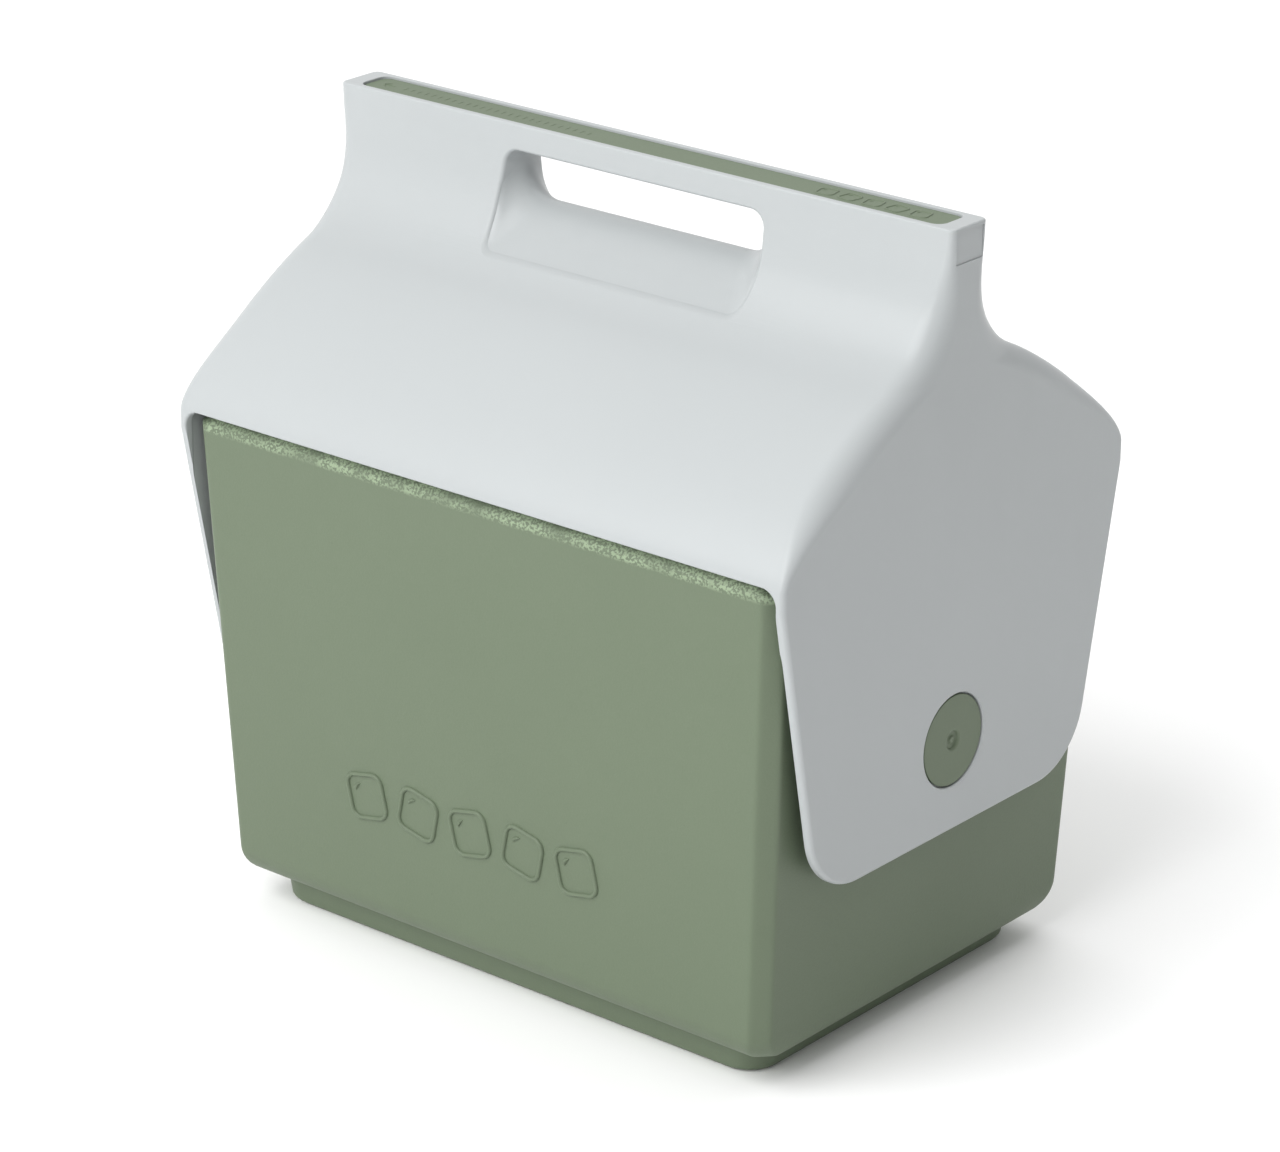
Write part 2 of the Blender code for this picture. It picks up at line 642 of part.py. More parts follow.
def strip_outline(spread=0.0):
    half_x = HALF_WIDTH - STRIP_END_INSET + spread
    half_y = NECK_DEPTH / 2 - STRIP_SIDE_INSET + spread
    return rounded_rectangle(half_x, -half_y, half_y, STRIP_CORNER, STRIP_CORNER)


def strip_leg_places():
    return [side * (HALF_WIDTH - inset) for inset in STRIP_LEG_INSETS for side in (-1, 1)]


def build_handle_strip():
    """The coloured insert along the top of the handle, with four snap legs."""
    low = STRIP_POCKET_FLOOR_Z + GAP
    strip = prism("handle_strip", strip_outline(), low, low + STRIP_THICKNESS, "Z", BODY_GREEN)
    reach = STRIP_LEG_THICKNESS / 2
    catch_z = NECK_CAVITY_TOP_Z - GAP
    tip_z = catch_z - STRIP_LEG_TIP
    leg_outline = [
        (-reach, low + MM),
        (-reach, tip_z),
        (reach / 2, tip_z),
        (reach + STRIP_LEG_HOOK, catch_z - MM),
        (reach + STRIP_LEG_HOOK, catch_z),
        (reach, catch_z),
        (reach, low + MM),
    ]
    for number, leg_x in enumerate(strip_leg_places()):
        ends = (leg_x - STRIP_LEG_WIDTH / 2, leg_x + STRIP_LEG_WIDTH / 2)
        join(strip, prism(f"add_leg_{number}", leg_outline, *ends, "X"))
    return strip


# ---------------------------------------------------------------- body
def body_half(z):
    """Half width and half depth of the body's tapered outside at a height."""
    share = (z - BODY_BOTTOM_Z) / (BODY_TOP_Z - BODY_BOTTOM_Z)
    return BODY_BOTTOM_HALF_X + share * BODY_TAPER_X, BODY_BOTTOM_HALF_Y + share * BODY_TAPER_Y


def liner_half(z):
    """Half width and half depth of the tub's inside at a height."""
    narrowing = LINER_TAPER * (RIM_TOP_Z - z) / (RIM_TOP_Z - LINER_FLOOR_Z)
    return BODY_TOP_HALF_X - LINER_INSET_X - narrowing, BODY_TOP_HALF_Y - LINER_INSET_Y - narrowing


def shell_section(inset):
    """Rings along the outer shell's wall, from its bottom opening up to its inturned top flange."""
    leg = BODY_CORNER - inset * (2 - sqrt(2))
    sections = [(BODY_OPENING_INSET, BODY_OPENING_INSET, BODY_BOTTOM_Z + inset)]
    radius_x, radius_y = BODY_FOOT_RADIUS_X - inset, BODY_FOOT_RADIUS_Y - inset
    for i in range(ARC_STEPS):
        angle = pi / 2 * i / (ARC_STEPS - 1)
        spare_x = inset + radius_x * (1 - sin(angle))
        spare_y = inset + radius_y * (1 - sin(angle))
        sections.append((spare_x, spare_y, BODY_BOTTOM_Z + inset + radius_y * (1 - cos(angle))))
    slant = inset * (sqrt(2) - 1)
    for u, v in reversed(CHAMFERED):
        spare_x = inset + (BODY_TOP_EDGE_X - slant) * (1 - u)
        spare_y = inset + (BODY_TOP_EDGE_Y - slant) * (1 - u)
        sections.append((spare_x, spare_y, BODY_TOP_Z - inset - (BODY_TOP_EDGE_Y - slant) * (1 - v)))
    flange_x, flange_y = BODY_TOP_EDGE_X + TOP_FLANGE, BODY_TOP_EDGE_Y + TOP_FLANGE
    sections.append((flange_x, flange_y, BODY_TOP_Z - inset))
    rings = []
    for spare_x, spare_y, z in sections:
        half_x, half_y = body_half(z)
        rings.append(ring(half_x - spare_x, half_y - spare_y, z, leg, corner=CHAMFERED))
    return rings


def latch_notch(name, outer_y, mouth_z):
    """The room that the hook sweeps as the lid swings: what lies outside a cylinder about the pivots."""
    low_z, high_z = HOOK_BOTTOM_Z - MM, RIM_TOP_Z + HOOK_ROOM
    far_y = LID_HALF_DEPTH + PAST
    low, high = [asin((z - PIVOT_HEIGHT) / HOOK_REACH) * 180 / pi for z in (low_z, high_z)]
    outline = [(outer_y, low_z), (outer_y, mouth_z), (far_y, mouth_z), (far_y, high_z)]
    outline += arc((0, PIVOT_HEIGHT), HOOK_REACH, high, low)
    half_width = HOOK_ARM_WIDTH / 2 + HOOK_ROOM
    return prism(name, outline, -half_width, half_width, "X")


def build_outer_shell():
    outside, inside = shell_section(0), shell_section(BODY_WALL)
    shell = loft("outer_shell", outside + inside[::-1], BODY_GREEN, tube=True)
    inner_x = body_half(PIVOT_HEIGHT)[0] - BODY_WALL
    bosses = [
        rod_along_x("add_body_boss_right", BODY_BOSS_RADIUS, inner_x, BODY_BOSS_FACE_X),
        rod_along_x("add_body_boss_left", BODY_BOSS_RADIUS, -BODY_BOSS_FACE_X, -inner_x),
    ]
    join(shell, *bosses)
    bore = rod_along_x("cut_bushing_bore", BUSHING_OUTER_RADIUS + GAP, -HALF_WIDTH, HALF_WIDTH)
    notch = latch_notch("cut_shell_latch", STRIKE_OUTER_Y, STRIKE_HIGH_Z + 2 * GAP)
    seat = block(
        "cut_strike_seat",
        (-STRIKE_WIDTH / 2 - GAP, HOOK_ARM_INNER_Y - HOOK_ROOM, STRIKE_LOW_Z - GAP),
        (STRIKE_WIDTH / 2 + GAP, STRIKE_OUTER_Y + GAP, STRIKE_HIGH_Z + GAP),
    )
    depth = SCREW_SHANK_LENGTH + BODY_WALL
    holes = [
        turned(
            f"cut_screw_hole_{side}",
            [(0, depth), (SCREW_SHANK_RADIUS + GAP, depth), (SCREW_SHANK_RADIUS + GAP, 0), (0, 0)],
            None,
            (side * STRIKE_SCREW_X, SCREW_TIP_Y + GAP, STRIKE_SCREW_Z),
            (pi / 2, 0, 0),
            sides=SCREW_SIDES,
        )
        for side in (-1, 1)
    ]
    return cut(shell, seat, notch, bore, *holes)


def build_base_pan():
    half_x, half_y = BODY_BOTTOM_HALF_X - PAN_INSET_X, BODY_BOTTOM_HALF_Y - PAN_INSET_Y
    rings = []
    for i in range(ARC_STEPS):
        angle = pi / 2 * i / (ARC_STEPS - 1)
        inset = PAN_EDGE_RADIUS * (1 - sin(angle)) + PAN_TAPER
        z = PAN_EDGE_RADIUS * (1 - cos(angle))
        rings.append(ring(half_x - inset, half_y - inset, z, PAN_CORNER))
    rings.append(ring(half_x, half_y, PAN_TOP_Z, PAN_CORNER))
    for z in (PAN_TOP_Z, PAN_TOP_Z + PAN_COLLAR_HEIGHT):
        collar = OPENING_HALF_X - 2 * GAP, OPENING_HALF_Y - 2 * GAP
        rings.append(ring(*collar, z, BODY_CORNER, corner=CHAMFERED))
    pan = loft("base_pan", rings, BODY_GREEN, close_end=False)
    return solidify(pan, PAN_WALL)


def tub_rings(offset=0.0):
    """Sections of the tub's inside from the floor up, or of a larger tub all round it."""
    rings = []
    floor_z = LINER_FLOOR_Z - offset
    radius = LINER_FLOOR_RADIUS + offset
    for i in range(ARC_STEPS):
        angle = pi / 2 * i / (ARC_STEPS - 1)
        inset = radius * (1 - sin(angle)) - offset
        z = floor_z + radius * (1 - cos(angle))
        half_x, half_y = liner_half(z)
        rings.append(ring(half_x - inset, half_y - inset, z, LINER_CORNER))
    return rings


def build_inner_liner():
    rings = tub_rings()
    half_x, half_y = liner_half(RIM_TOP_Z - RIM_ROUND)
    rings.append(ring(half_x, half_y, RIM_TOP_Z - RIM_ROUND, LINER_CORNER))
    for i in range(1, 4):
        angle = pi / 2 * i / 3
        out = RIM_ROUND * (1 - cos(angle))
        z = RIM_TOP_Z - RIM_ROUND * (1 - sin(angle))
        rings.append(ring(half_x + out, half_y + out, z, LINER_CORNER))
    rings.append(ring(RIM_HALF_X, RIM_HALF_Y, RIM_TOP_Z, BODY_CORNER, corner=CHAMFERED))
    liner = loft("inner_liner", rings, LINER_WHITE, close_end=False, flip=True)
    solidify(liner, LINER_WALL)
    return cut(liner, latch_notch("cut_rim_latch", LID_HALF_DEPTH, STRIKE_HIGH_Z))


def build_body_foam():
    """Insulation between the shell and the tub, with a plug that fills the base pan."""
    plug_x = OPENING_HALF_X - PAN_WALL - 4 * GAP
    plug_y = OPENING_HALF_Y - PAN_WALL - 4 * GAP
    skin = BODY_WALL + GAP
    step_z = PAN_TOP_Z + PAN_COLLAR_HEIGHT + GAP
    top_z = BODY_TOP_Z - BODY_WALL - BODY_TOP_EDGE_X
    low_x, low_y = body_half(step_z)
    low_inset = skin + BODY_FOOT_RADIUS_Y / 2
    sections = [
        (plug_x, plug_y, PAN_WALL + GAP),
        (plug_x, plug_y, step_z),
        (low_x - low_inset, low_y - low_inset, step_z),
    ]
    for z in (BODY_BOTTOM_Z + 2 * BODY_FOOT_RADIUS_Y, top_z):
        half_x, half_y = body_half(z)
        sections.append((half_x - skin, half_y - skin, z))
    rings = [ring(*section, BODY_CORNER, corner=CHAMFERED) for section in sections]
    foam = loft("body_foam", rings, FOAM_CREAM)
    spread = LINER_WALL + GAP
    tub = tub_rings(spread)
    past_x, past_y = liner_half(top_z + PAST)
    tub.append(ring(past_x + spread, past_y + spread, top_z + PAST, LINER_CORNER))
    cut(foam, loft("cut_tub_room", tub))
    cut(foam, rod_along_x("cut_foam_bore", BODY_BOSS_RADIUS + MM, -HALF_WIDTH, HALF_WIDTH))
    room = STRIKE_WIDTH / 2 + MM
    latch_room = block(
        "cut_foam_strike",
        (-room, HOOK_ARM_INNER_Y - HOOK_ROOM, STRIKE_LOW_Z - 2 * GAP),
        (room, LID_HALF_DEPTH, BODY_TOP_Z + PAST),
    )
    return cut(foam, latch_room)


# ---------------------------------------------------------------- pivots
def build_pivots():
    head_face = HALF_WIDTH - PLUG_HEAD_RECESS
    head_back = COUNTERBORE_FLOOR_X + GAP
    edge = PLUG_EDGE
    shoulder_end = FLAP_BOSS_FACE_X
    groove_out = BUSHING_END_X - GAP / 2
    groove_in = groove_out - CLIP_THICKNESS - GAP
    groove_radius = PLUG_SHANK_RADIUS - PLUG_GROOVE_DEPTH
    shank_end = groove_in - PLUG_SHANK_PAST_CLIP
    plug = [
        (0, head_face - PLUG_EYE_DEPTH / 2),
        (PLUG_GATE_RADIUS, head_face - PLUG_EYE_DEPTH / 2),
        (PLUG_GATE_RADIUS, head_face - PLUG_EYE_DEPTH),
        (PLUG_EYE_RADIUS - edge, head_face - PLUG_EYE_DEPTH),
        (PLUG_EYE_RADIUS, head_face),
        (PLUG_HEAD_RADIUS - edge, head_face),
        (PLUG_HEAD_RADIUS, head_face - edge),
        (PLUG_HEAD_RADIUS, head_back),
        (PLUG_SHOULDER_RADIUS, head_back),
        (PLUG_SHOULDER_RADIUS, shoulder_end),
        (PLUG_SHANK_RADIUS, shoulder_end),
        (PLUG_SHANK_RADIUS, groove_out),
        (groove_radius, groove_out),
        (groove_radius, groove_in),
        (PLUG_SHANK_RADIUS, groove_in),
        (PLUG_SHANK_RADIUS, shank_end + MM),
        (PLUG_SHANK_RADIUS - MM, shank_end),
        (0, shank_end),
    ]
    flange_radius = BUSHING_OUTER_RADIUS + BUSHING_FLANGE_WIDTH
    flange_back = BUSHING_FLANGE_FACE_X - BUSHING_FLANGE_THICKNESS
    bushing = [
        (BUSHING_BORE_RADIUS, BUSHING_FLANGE_FACE_X),
        (flange_radius, BUSHING_FLANGE_FACE_X),
        (flange_radius, flange_back),
        (BUSHING_OUTER_RADIUS, flange_back),
        (BUSHING_OUTER_RADIUS, BUSHING_END_X),
        (BUSHING_BORE_RADIUS, BUSHING_END_X),
    ]
    clip_out = groove_out - GAP / 2
    clip_bore = groove_radius + GAP / 2
    clip = [
        (clip_bore, clip_out),
        (clip_bore + CLIP_WIDTH, clip_out),
        (clip_bore + CLIP_WIDTH, clip_out - CLIP_THICKNESS),
        (clip_bore, clip_out - CLIP_THICKNESS),
    ]
    for side, word in ((1, "right"), (-1, "left")):
        frame = (0, 0, PIVOT_HEIGHT), (0, side * pi / 2, 0)
        turned(f"pivot_plug_{word}", plug, BODY_GREEN, *frame)
        turned(f"pivot_bushing_{word}", bushing, BUSHING_WHITE, *frame)
        turned(f"pivot_clip_{word}", clip, SPRING_STEEL, *frame)


# ---------------------------------------------------------------- latch
def button_outline(spread, low_z, high_z):
    return rounded_rectangle(BUTTON_WIDTH / 2 + spread, low_z, high_z, BUTTON_CORNER, BUTTON_CORNER)


def button_back():
    """Two points on the button's flat back, which is tangent to the vault with room for the travel."""
    radius = VAULT_OUTER_RADIUS + GAP + BUTTON_TRAVEL
    touch = asin((BUTTON_LOW_Z + BUTTON_HIGH_Z) / 2 / radius - PIVOT_HEIGHT / radius)
    reach = BUTTON_HEIGHT
    foot = Vector((radius * cos(touch), PIVOT_HEIGHT + radius * sin(touch)))
    along = Vector((-sin(touch), cos(touch)))
    return [tuple(foot + along * reach), tuple(foot - along * reach)]


def build_latch():
    near, far = LID_HALF_DEPTH / 2, LID_HALF_DEPTH + PAST
    face = button_outline(0, BUTTON_LOW_Z, BUTTON_HIGH_Z)
    button = prism("latch_button", face, near, far, "Y", BODY_GREEN)
    skin = band_outline(-BUTTON_PROUD, 0, BUTTON_LOW_Z, BUTTON_HIGH_Z)
    slab = prism("keep_button", skin[: len(skin) // 2] + button_back(), -BUTTON_WIDTH, BUTTON_WIDTH, "X")
    boolean(button, slab, "INTERSECT")
    lip_depth = LID_WALL + GAP
    lip_face = button_outline(BUTTON_LIP, BUTTON_LOW_Z + BUTTON_LIP_RISE, BUTTON_HIGH_Z - MM)
    lip = prism("add_button_lip", lip_face, near, far, "Y")
    lip_band = band_outline(lip_depth, lip_depth + BUTTON_LIP_THICKNESS, BUTTON_LOW_Z, BUTTON_HIGH_Z)
    boolean(lip, prism("keep_button_lip", lip_band, -BUTTON_WIDTH, BUTTON_WIDTH, "X"), "INTERSECT")
    nose_y = HOOK_ARM_OUTER_Y + HOOK_NOSE_REACH
    nose_z = HOOK_BOTTOM_Z + HOOK_NOSE_HEIGHT
    hook_outline = [
        (HOOK_ARM_INNER_Y, HOOK_BOTTOM_Z),
        (nose_y, HOOK_BOTTOM_Z),
        (nose_y, nose_z - HOOK_NOSE_REACH),
        (HOOK_ARM_OUTER_Y, nose_z),
        (HOOK_ARM_OUTER_Y, BUTTON_LOW_Z + HOOK_ROOT),
        (HOOK_ARM_INNER_Y, BUTTON_LOW_Z + HOOK_ROOT + HOOK_ARM_THICKNESS),
    ]
    hook = prism("add_hook", hook_outline, -HOOK_ARM_WIDTH / 2, HOOK_ARM_WIDTH / 2, "X")
    spring_room = block(
        "cut_spring_room",
        (-SPRING_WIDTH / 2 - MM, LID_HALF_DEPTH / 2, BUTTON_LOW_Z + BUTTON_CORNER),
        (SPRING_WIDTH / 2 + MM, LID_HALF_DEPTH + PAST, BUTTON_HIGH_Z - 2 * MM),
    )
    behind_skin = band_outline(BUTTON_SKIN, 4 * LID_WALL, BUTTON_LOW_Z, BUTTON_HIGH_Z)
    behind = prism("keep_spring_room", behind_skin, -BUTTON_WIDTH, BUTTON_WIDTH, "X")
    boolean(spring_room, behind, "INTERSECT")
    join(button, lip, hook)
    cut(button, spring_room)
    build_latch_spring()
    build_latch_strike()


def build_latch_spring():
    """A bowed leaf between the liner's vault and the back of the button's face."""
    seat = VAULT_OUTER_RADIUS + GAP
    middle_z = (BUTTON_LOW_Z + BUTTON_HIGH_Z) / 2 + MM
    angle = atan2(middle_z - PIVOT_HEIGHT, sqrt(seat**2 - (middle_z - PIVOT_HEIGHT) ** 2))
    spread = SPRING_HALF_SPAN / seat

    def leaf(extra):
        points = []
        for i in range(2 * ARC_STEPS + 1):
            share = i / ARC_STEPS - 1
            radius = seat + extra + SPRING_RISE * (1 - share * share)
            turn = angle + spread * share
            points.append((radius * cos(turn), PIVOT_HEIGHT + radius * sin(turn)))
        return points

    outline = leaf(SPRING_THICKNESS) + leaf(0)[::-1]
    prism("latch_spring", outline, -SPRING_WIDTH / 2, SPRING_WIDTH / 2, "X", SPRING_STEEL)


def build_latch_strike():
    strike = block(
        "latch_strike",
        (-STRIKE_WIDTH / 2, STRIKE_INNER_Y, STRIKE_LOW_Z),
        (STRIKE_WIDTH / 2, STRIKE_OUTER_Y, STRIKE_HIGH_Z),
        SPRING_STEEL,
    )
    half = HOOK_ARM_WIDTH / 2 + MM
    window_top = HOOK_BOTTOM_Z + HOOK_NOSE_HEIGHT + STRIKE_PLAY
    window = block(
        "cut_strike_window",
        (-half, STRIKE_INNER_Y - MM, HOOK_BOTTOM_Z - HOOK_ROOM),
        (half, STRIKE_OUTER_Y + MM, window_top),
    )
    cut(strike, window)
    under_head = SCREW_TIP_Y - SCREW_SEAT_Y
    screw = [
        (0, under_head + SCREW_HEAD_HEIGHT),
        (SCREW_HEAD_RADIUS * 0.7, under_head + SCREW_HEAD_HEIGHT),
        (SCREW_HEAD_RADIUS, under_head + SCREW_HEAD_HEIGHT * 0.5),
        (SCREW_HEAD_RADIUS, under_head),
        (SCREW_SHANK_RADIUS, under_head),
        (SCREW_SHANK_RADIUS, 0),
        (0, 0),
    ]
    hole_radius = SCREW_SHANK_RADIUS + GAP / 2
    past = SCREW_SHANK_LENGTH + SCREW_HEAD_HEIGHT + MM
    hole = [(0, past), (hole_radius, past), (hole_radius, -MM), (0, -MM)]
    for side, word in ((1, "right"), (-1, "left")):
        frame = (side * STRIKE_SCREW_X, SCREW_TIP_Y, STRIKE_SCREW_Z), (pi / 2, 0, 0)
        turned(f"strike_screw_{word}", screw, SPRING_STEEL, *frame, sides=SCREW_SIDES)
        cut(strike, turned(f"cut_strike_hole_{word}", hole, None, *frame, sides=SCREW_SIDES))


# ---------------------------------------------------------------- build
LID_PIECES = ["lid_shell", "lid_liner", "lid_foam_front", "lid_foam_rear", "handle_strip", "latch_spring"]

clear_scene()
PARTS = new_collection("tent_top_cooler")
CUTTERS = new_collection("cutters")
SHELL_GREY = plastic("shell_grey", (0.66, 0.69, 0.69), 0.32)
BODY_GREEN = plastic("body_green", (0.225, 0.285, 0.19), 0.48)
LINER_WHITE = plastic("liner_white", (0.80, 0.81, 0.80), 0.38)
FOAM_CREAM = plastic("foam_cream", (0.72, 0.62, 0.40), 0.90)
BUSHING_WHITE = plastic("bushing_white", (0.85, 0.85, 0.82), 0.35)
SPRING_STEEL = plastic("spring_steel", (0.56, 0.57, 0.58), 0.30, 1.0)

build_outer_shell()
build_base_pan()
build_body_foam()
build_inner_liner()
build_lid_shell()
build_lid_liner()
build_lid_foam("lid_foam_front", -1)
build_lid_foam("lid_foam_rear", 1)
build_handle_strip()
build_pivots()
build_latch()
hang_on("lid_axis", (0, 0, PIVOT_HEIGHT), LID_PIECES)
hang_on("button_axis", (0, LID_HALF_DEPTH, (BUTTON_LOW_Z + BUTTON_HIGH_Z) / 2), ["latch_button"])
bpy.data.objects["button_axis"].parent = bpy.data.objects["lid_axis"]
bpy.data.objects["button_axis"].matrix_parent_inverse = Matrix.Translation((0, 0, -PIVOT_HEIGHT))
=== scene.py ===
"""Looks of a tent-top personal cooler, laid out as an add-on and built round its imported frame.

Frame: metres, +Z up, X along the long sides, the plain long side faces -Y and the latch side +Y.
"""

import json
from math import atan2, asin, cos, hypot, pi, radians, sin, sqrt, tan

import bmesh
import bpy
from bpy.props import FloatProperty, FloatVectorProperty, IntProperty, PointerProperty
from mathutils import Matrix, Vector
from mathutils.geometry import interpolate_bezier


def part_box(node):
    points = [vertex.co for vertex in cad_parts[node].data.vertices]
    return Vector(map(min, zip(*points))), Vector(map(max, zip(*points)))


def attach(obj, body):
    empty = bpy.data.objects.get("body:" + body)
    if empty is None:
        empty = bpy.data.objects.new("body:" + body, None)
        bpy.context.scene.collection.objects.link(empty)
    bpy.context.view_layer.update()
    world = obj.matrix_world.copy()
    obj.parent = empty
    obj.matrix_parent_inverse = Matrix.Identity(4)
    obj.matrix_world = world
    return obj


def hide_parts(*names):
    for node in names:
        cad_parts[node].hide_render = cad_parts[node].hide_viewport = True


bl_info = {
    "name": "Tent-Top Cooler",
    "version": (1, 0, 0),
    "blender": (4, 5, 0),
    "location": "3D View > Sidebar > Cooler",
    "description": "Builds the finished pieces of a tent-top personal cooler round its frame",
    "category": "Object",
}

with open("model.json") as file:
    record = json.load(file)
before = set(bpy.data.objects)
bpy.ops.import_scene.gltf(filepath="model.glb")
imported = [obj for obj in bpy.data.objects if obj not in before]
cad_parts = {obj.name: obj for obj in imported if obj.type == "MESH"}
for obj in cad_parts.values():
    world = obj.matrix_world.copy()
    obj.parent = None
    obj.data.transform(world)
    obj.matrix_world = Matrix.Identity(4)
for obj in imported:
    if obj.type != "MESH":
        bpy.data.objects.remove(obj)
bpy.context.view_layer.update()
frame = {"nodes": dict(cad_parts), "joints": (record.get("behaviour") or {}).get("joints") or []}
MM = 0.001

# ---------------------------------------------------------------- places taken from the frame
LID_LOW, LID_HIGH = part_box("lid_shell")
BOX_LOW, BOX_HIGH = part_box("outer_shell")
_, PAN_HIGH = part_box("base_pan")
LINER_LOW, LINER_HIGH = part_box("inner_liner")
_, VAULT_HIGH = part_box("lid_liner")
STRIP_LOW, STRIP_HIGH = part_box("handle_strip")
PLUG_LOW, PLUG_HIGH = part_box("pivot_plug_right")
BUTTON_LOW, BUTTON_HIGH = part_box("latch_button")
STRIKE_LOW, STRIKE_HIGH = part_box("latch_strike")
SCREW_LOW, SCREW_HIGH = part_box("strike_screw_right")
PIVOT_Z = next(j for j in frame["joints"] if j["name"] == "lid_swing")["pos_m"][2]

HALF_WIDTH = LID_HIGH.x
HALF_DEPTH = LID_HIGH.y
TOP_Z = LID_HIGH.z
FLAP_BOTTOM_Z = LID_LOW.z
LID_EDGE_Z = BOX_HIGH.z + 1 * MM
FLAP_SHOULDER_Z = LID_EDGE_Z - 6 * MM
LID_WALL = 3 * MM
FLAP_INNER_X = HALF_WIDTH - 3.2 * MM
FLAP_BOSS_FACE_X = FLAP_INNER_X - 1.8 * MM
COUNTERBORE_FLOOR_X = FLAP_BOSS_FACE_X + 2.9 * MM
NECK_HALF = 10 * MM
KNEE = (37 * MM, VAULT_HIGH.z + 7.3 * MM)
SLOT_HALF = 63.5 * MM
SLOT_NARROWING = 6 * MM
SLOT_MOUTH_RADIUS = 9 * MM
SLOT_CREST_RADIUS = 13 * MM
SLOT_CREST_RISE = 16.5 * MM
SLOT_CREST_REACH = 28 * MM
SLOT_FLOOR_Z = VAULT_HIGH.z + 14.8 * MM
SLOT_ROOF_Z = TOP_Z - 10 * MM
STRIP_FLOOR_Z = STRIP_HIGH.z - 3.3 * MM
NECK_CAVITY_TOP_Z = STRIP_FLOOR_Z - 4 * MM

BODY_TOP_Z = BOX_HIGH.z
BODY_BOTTOM_Z = BOX_LOW.z
BODY_TOP_HALF = (FLAP_INNER_X - 1.5 * MM, HALF_DEPTH - 2 * MM)
BODY_TAPER = (8.3 * MM, 6.5 * MM)
BODY_WALL = 2.5 * MM
BODY_CORNER = 8 * MM
BODY_FOOT_RADIUS = (4 * MM, 11 * MM)
BODY_TOP_EDGE = (7 * MM, 5 * MM)
BODY_OPENING_INSET = 15 * MM
PAN_CORNER = 12 * MM
BODY_BOSS_FACE_X = FLAP_BOSS_FACE_X - 1.8 * MM
BUSHING_HOLE_RADIUS = 12.45 * MM
FLAP_BOSS_RADIUS = 22 * MM
BODY_BOSS_RADIUS = 24 * MM
FLAP_BORE_RADIUS = 12.3 * MM
END_PANEL_DEPTH = 0.45 * MM
END_PANEL_HALF = 7.6 * MM
PAN_FOOT_RADIUS = 3 * MM
PAN_WALL = 2 * MM
TUB_CORNER = 18 * MM
TUB_FLOOR_RADIUS = 8 * MM
TUB_NARROWING = 7 * MM
RIM_TOP_Z = LINER_HIGH.z
LINER_WALL = 1.8 * MM
LINER_FLOOR_Z = LINER_LOW.z + LINER_WALL

BUTTON_HALF = 15 * MM
BUTTON_CORNER = 5 * MM
BUTTON_HOLE_DEPTH = 12 * MM
BUTTON_TOP_Z = BUTTON_HIGH.z
BUTTON_FOOT_Z = BUTTON_TOP_Z - 18 * MM
HOOK_BOTTOM_Z = BUTTON_LOW.z
HOOK_ARM_Y = (HALF_DEPTH - 8.6 * MM, HALF_DEPTH - 7 * MM)
HOOK_HALF_WIDTH = 7 * MM
HOOK_NOSE_HEIGHT = 1.5 * MM
HOOK_NOSE_REACH = 0.65 * MM
HOOK_ROOM = 2 * MM
GAP = 0.3 * MM
PAST = 20 * MM

PROFILE_STEPS = 26
CORNER_STEPS = 10
ARC_STEPS = 12
ROUND_SIDES = 96


# ---------------------------------------------------------------- settings a user would change
class CoolerSizes(bpy.types.PropertyGroup):
    slot_lip: FloatProperty(
        name="Slot lip",
        description="Rounding round the carrying slot",
        default=1.3 * MM,
        unit="LENGTH",
        subtype="DISTANCE",
    )
    edge_round: FloatProperty(
        name="Edge rounding",
        description="Rounding along the lid's lower edges",
        default=1 * MM,
        unit="LENGTH",
        subtype="DISTANCE",
    )
    flap_round: FloatProperty(
        name="Flap rounding",
        description="Rounding along the edges of the end flaps",
        default=2 * MM,
        unit="LENGTH",
        subtype="DISTANCE",
    )
    rim_round: FloatProperty(
        name="Rim rounding",
        description="Rounding along the top of the handle",
        default=0.8 * MM,
        unit="LENGTH",
        subtype="DISTANCE",
    )
    cube_count: IntProperty(
        name="Ice cubes", description="Cubes in the row on the front panel", default=5, min=1
    )
    cube_size: FloatProperty(
        name="Cube size",
        description="Side of one cube outline",
        default=17 * MM,
        unit="LENGTH",
        subtype="DISTANCE",
    )
    cube_pitch: FloatProperty(
        name="Cube spacing",
        description="Distance between cubes",
        default=25 * MM,
        unit="LENGTH",
        subtype="DISTANCE",
    )
    ridge_width: FloatProperty(
        name="Ridge width",
        description="Width of the raised outline",
        default=1.7 * MM,
        unit="LENGTH",
        subtype="DISTANCE",
    )
    ridge_height: FloatProperty(
        name="Ridge height",
        description="How far the raised outline stands out",
        default=1.0 * MM,
        unit="LENGTH",
        subtype="DISTANCE",
    )


class CoolerColours(bpy.types.PropertyGroup):
    lid: FloatVectorProperty(
        name="Lid", description="Cool grey of the lid", default=(0.385, 0.405, 0.410), subtype="COLOR"
    )
    body: FloatVectorProperty(
        name="Body", description="Sage green of the box", default=(0.122, 0.157, 0.101), subtype="COLOR"
    )
    liner: FloatVectorProperty(
        name="Liner", description="White of the tub", default=(0.72, 0.73, 0.72), subtype="COLOR"
    )
    foam: FloatVectorProperty(
        name="Foam", description="Cream of the insulation", default=(0.66, 0.55, 0.34), subtype="COLOR"
    )
    nylon: FloatVectorProperty(
        name="Bushings", description="Off-white of the bushings", default=(0.78, 0.77, 0.72), subtype="COLOR"
    )
    steel: FloatVectorProperty(
        name="Steel", description="Colour of the spring steel", default=(0.60, 0.61, 0.62), subtype="COLOR"
    )


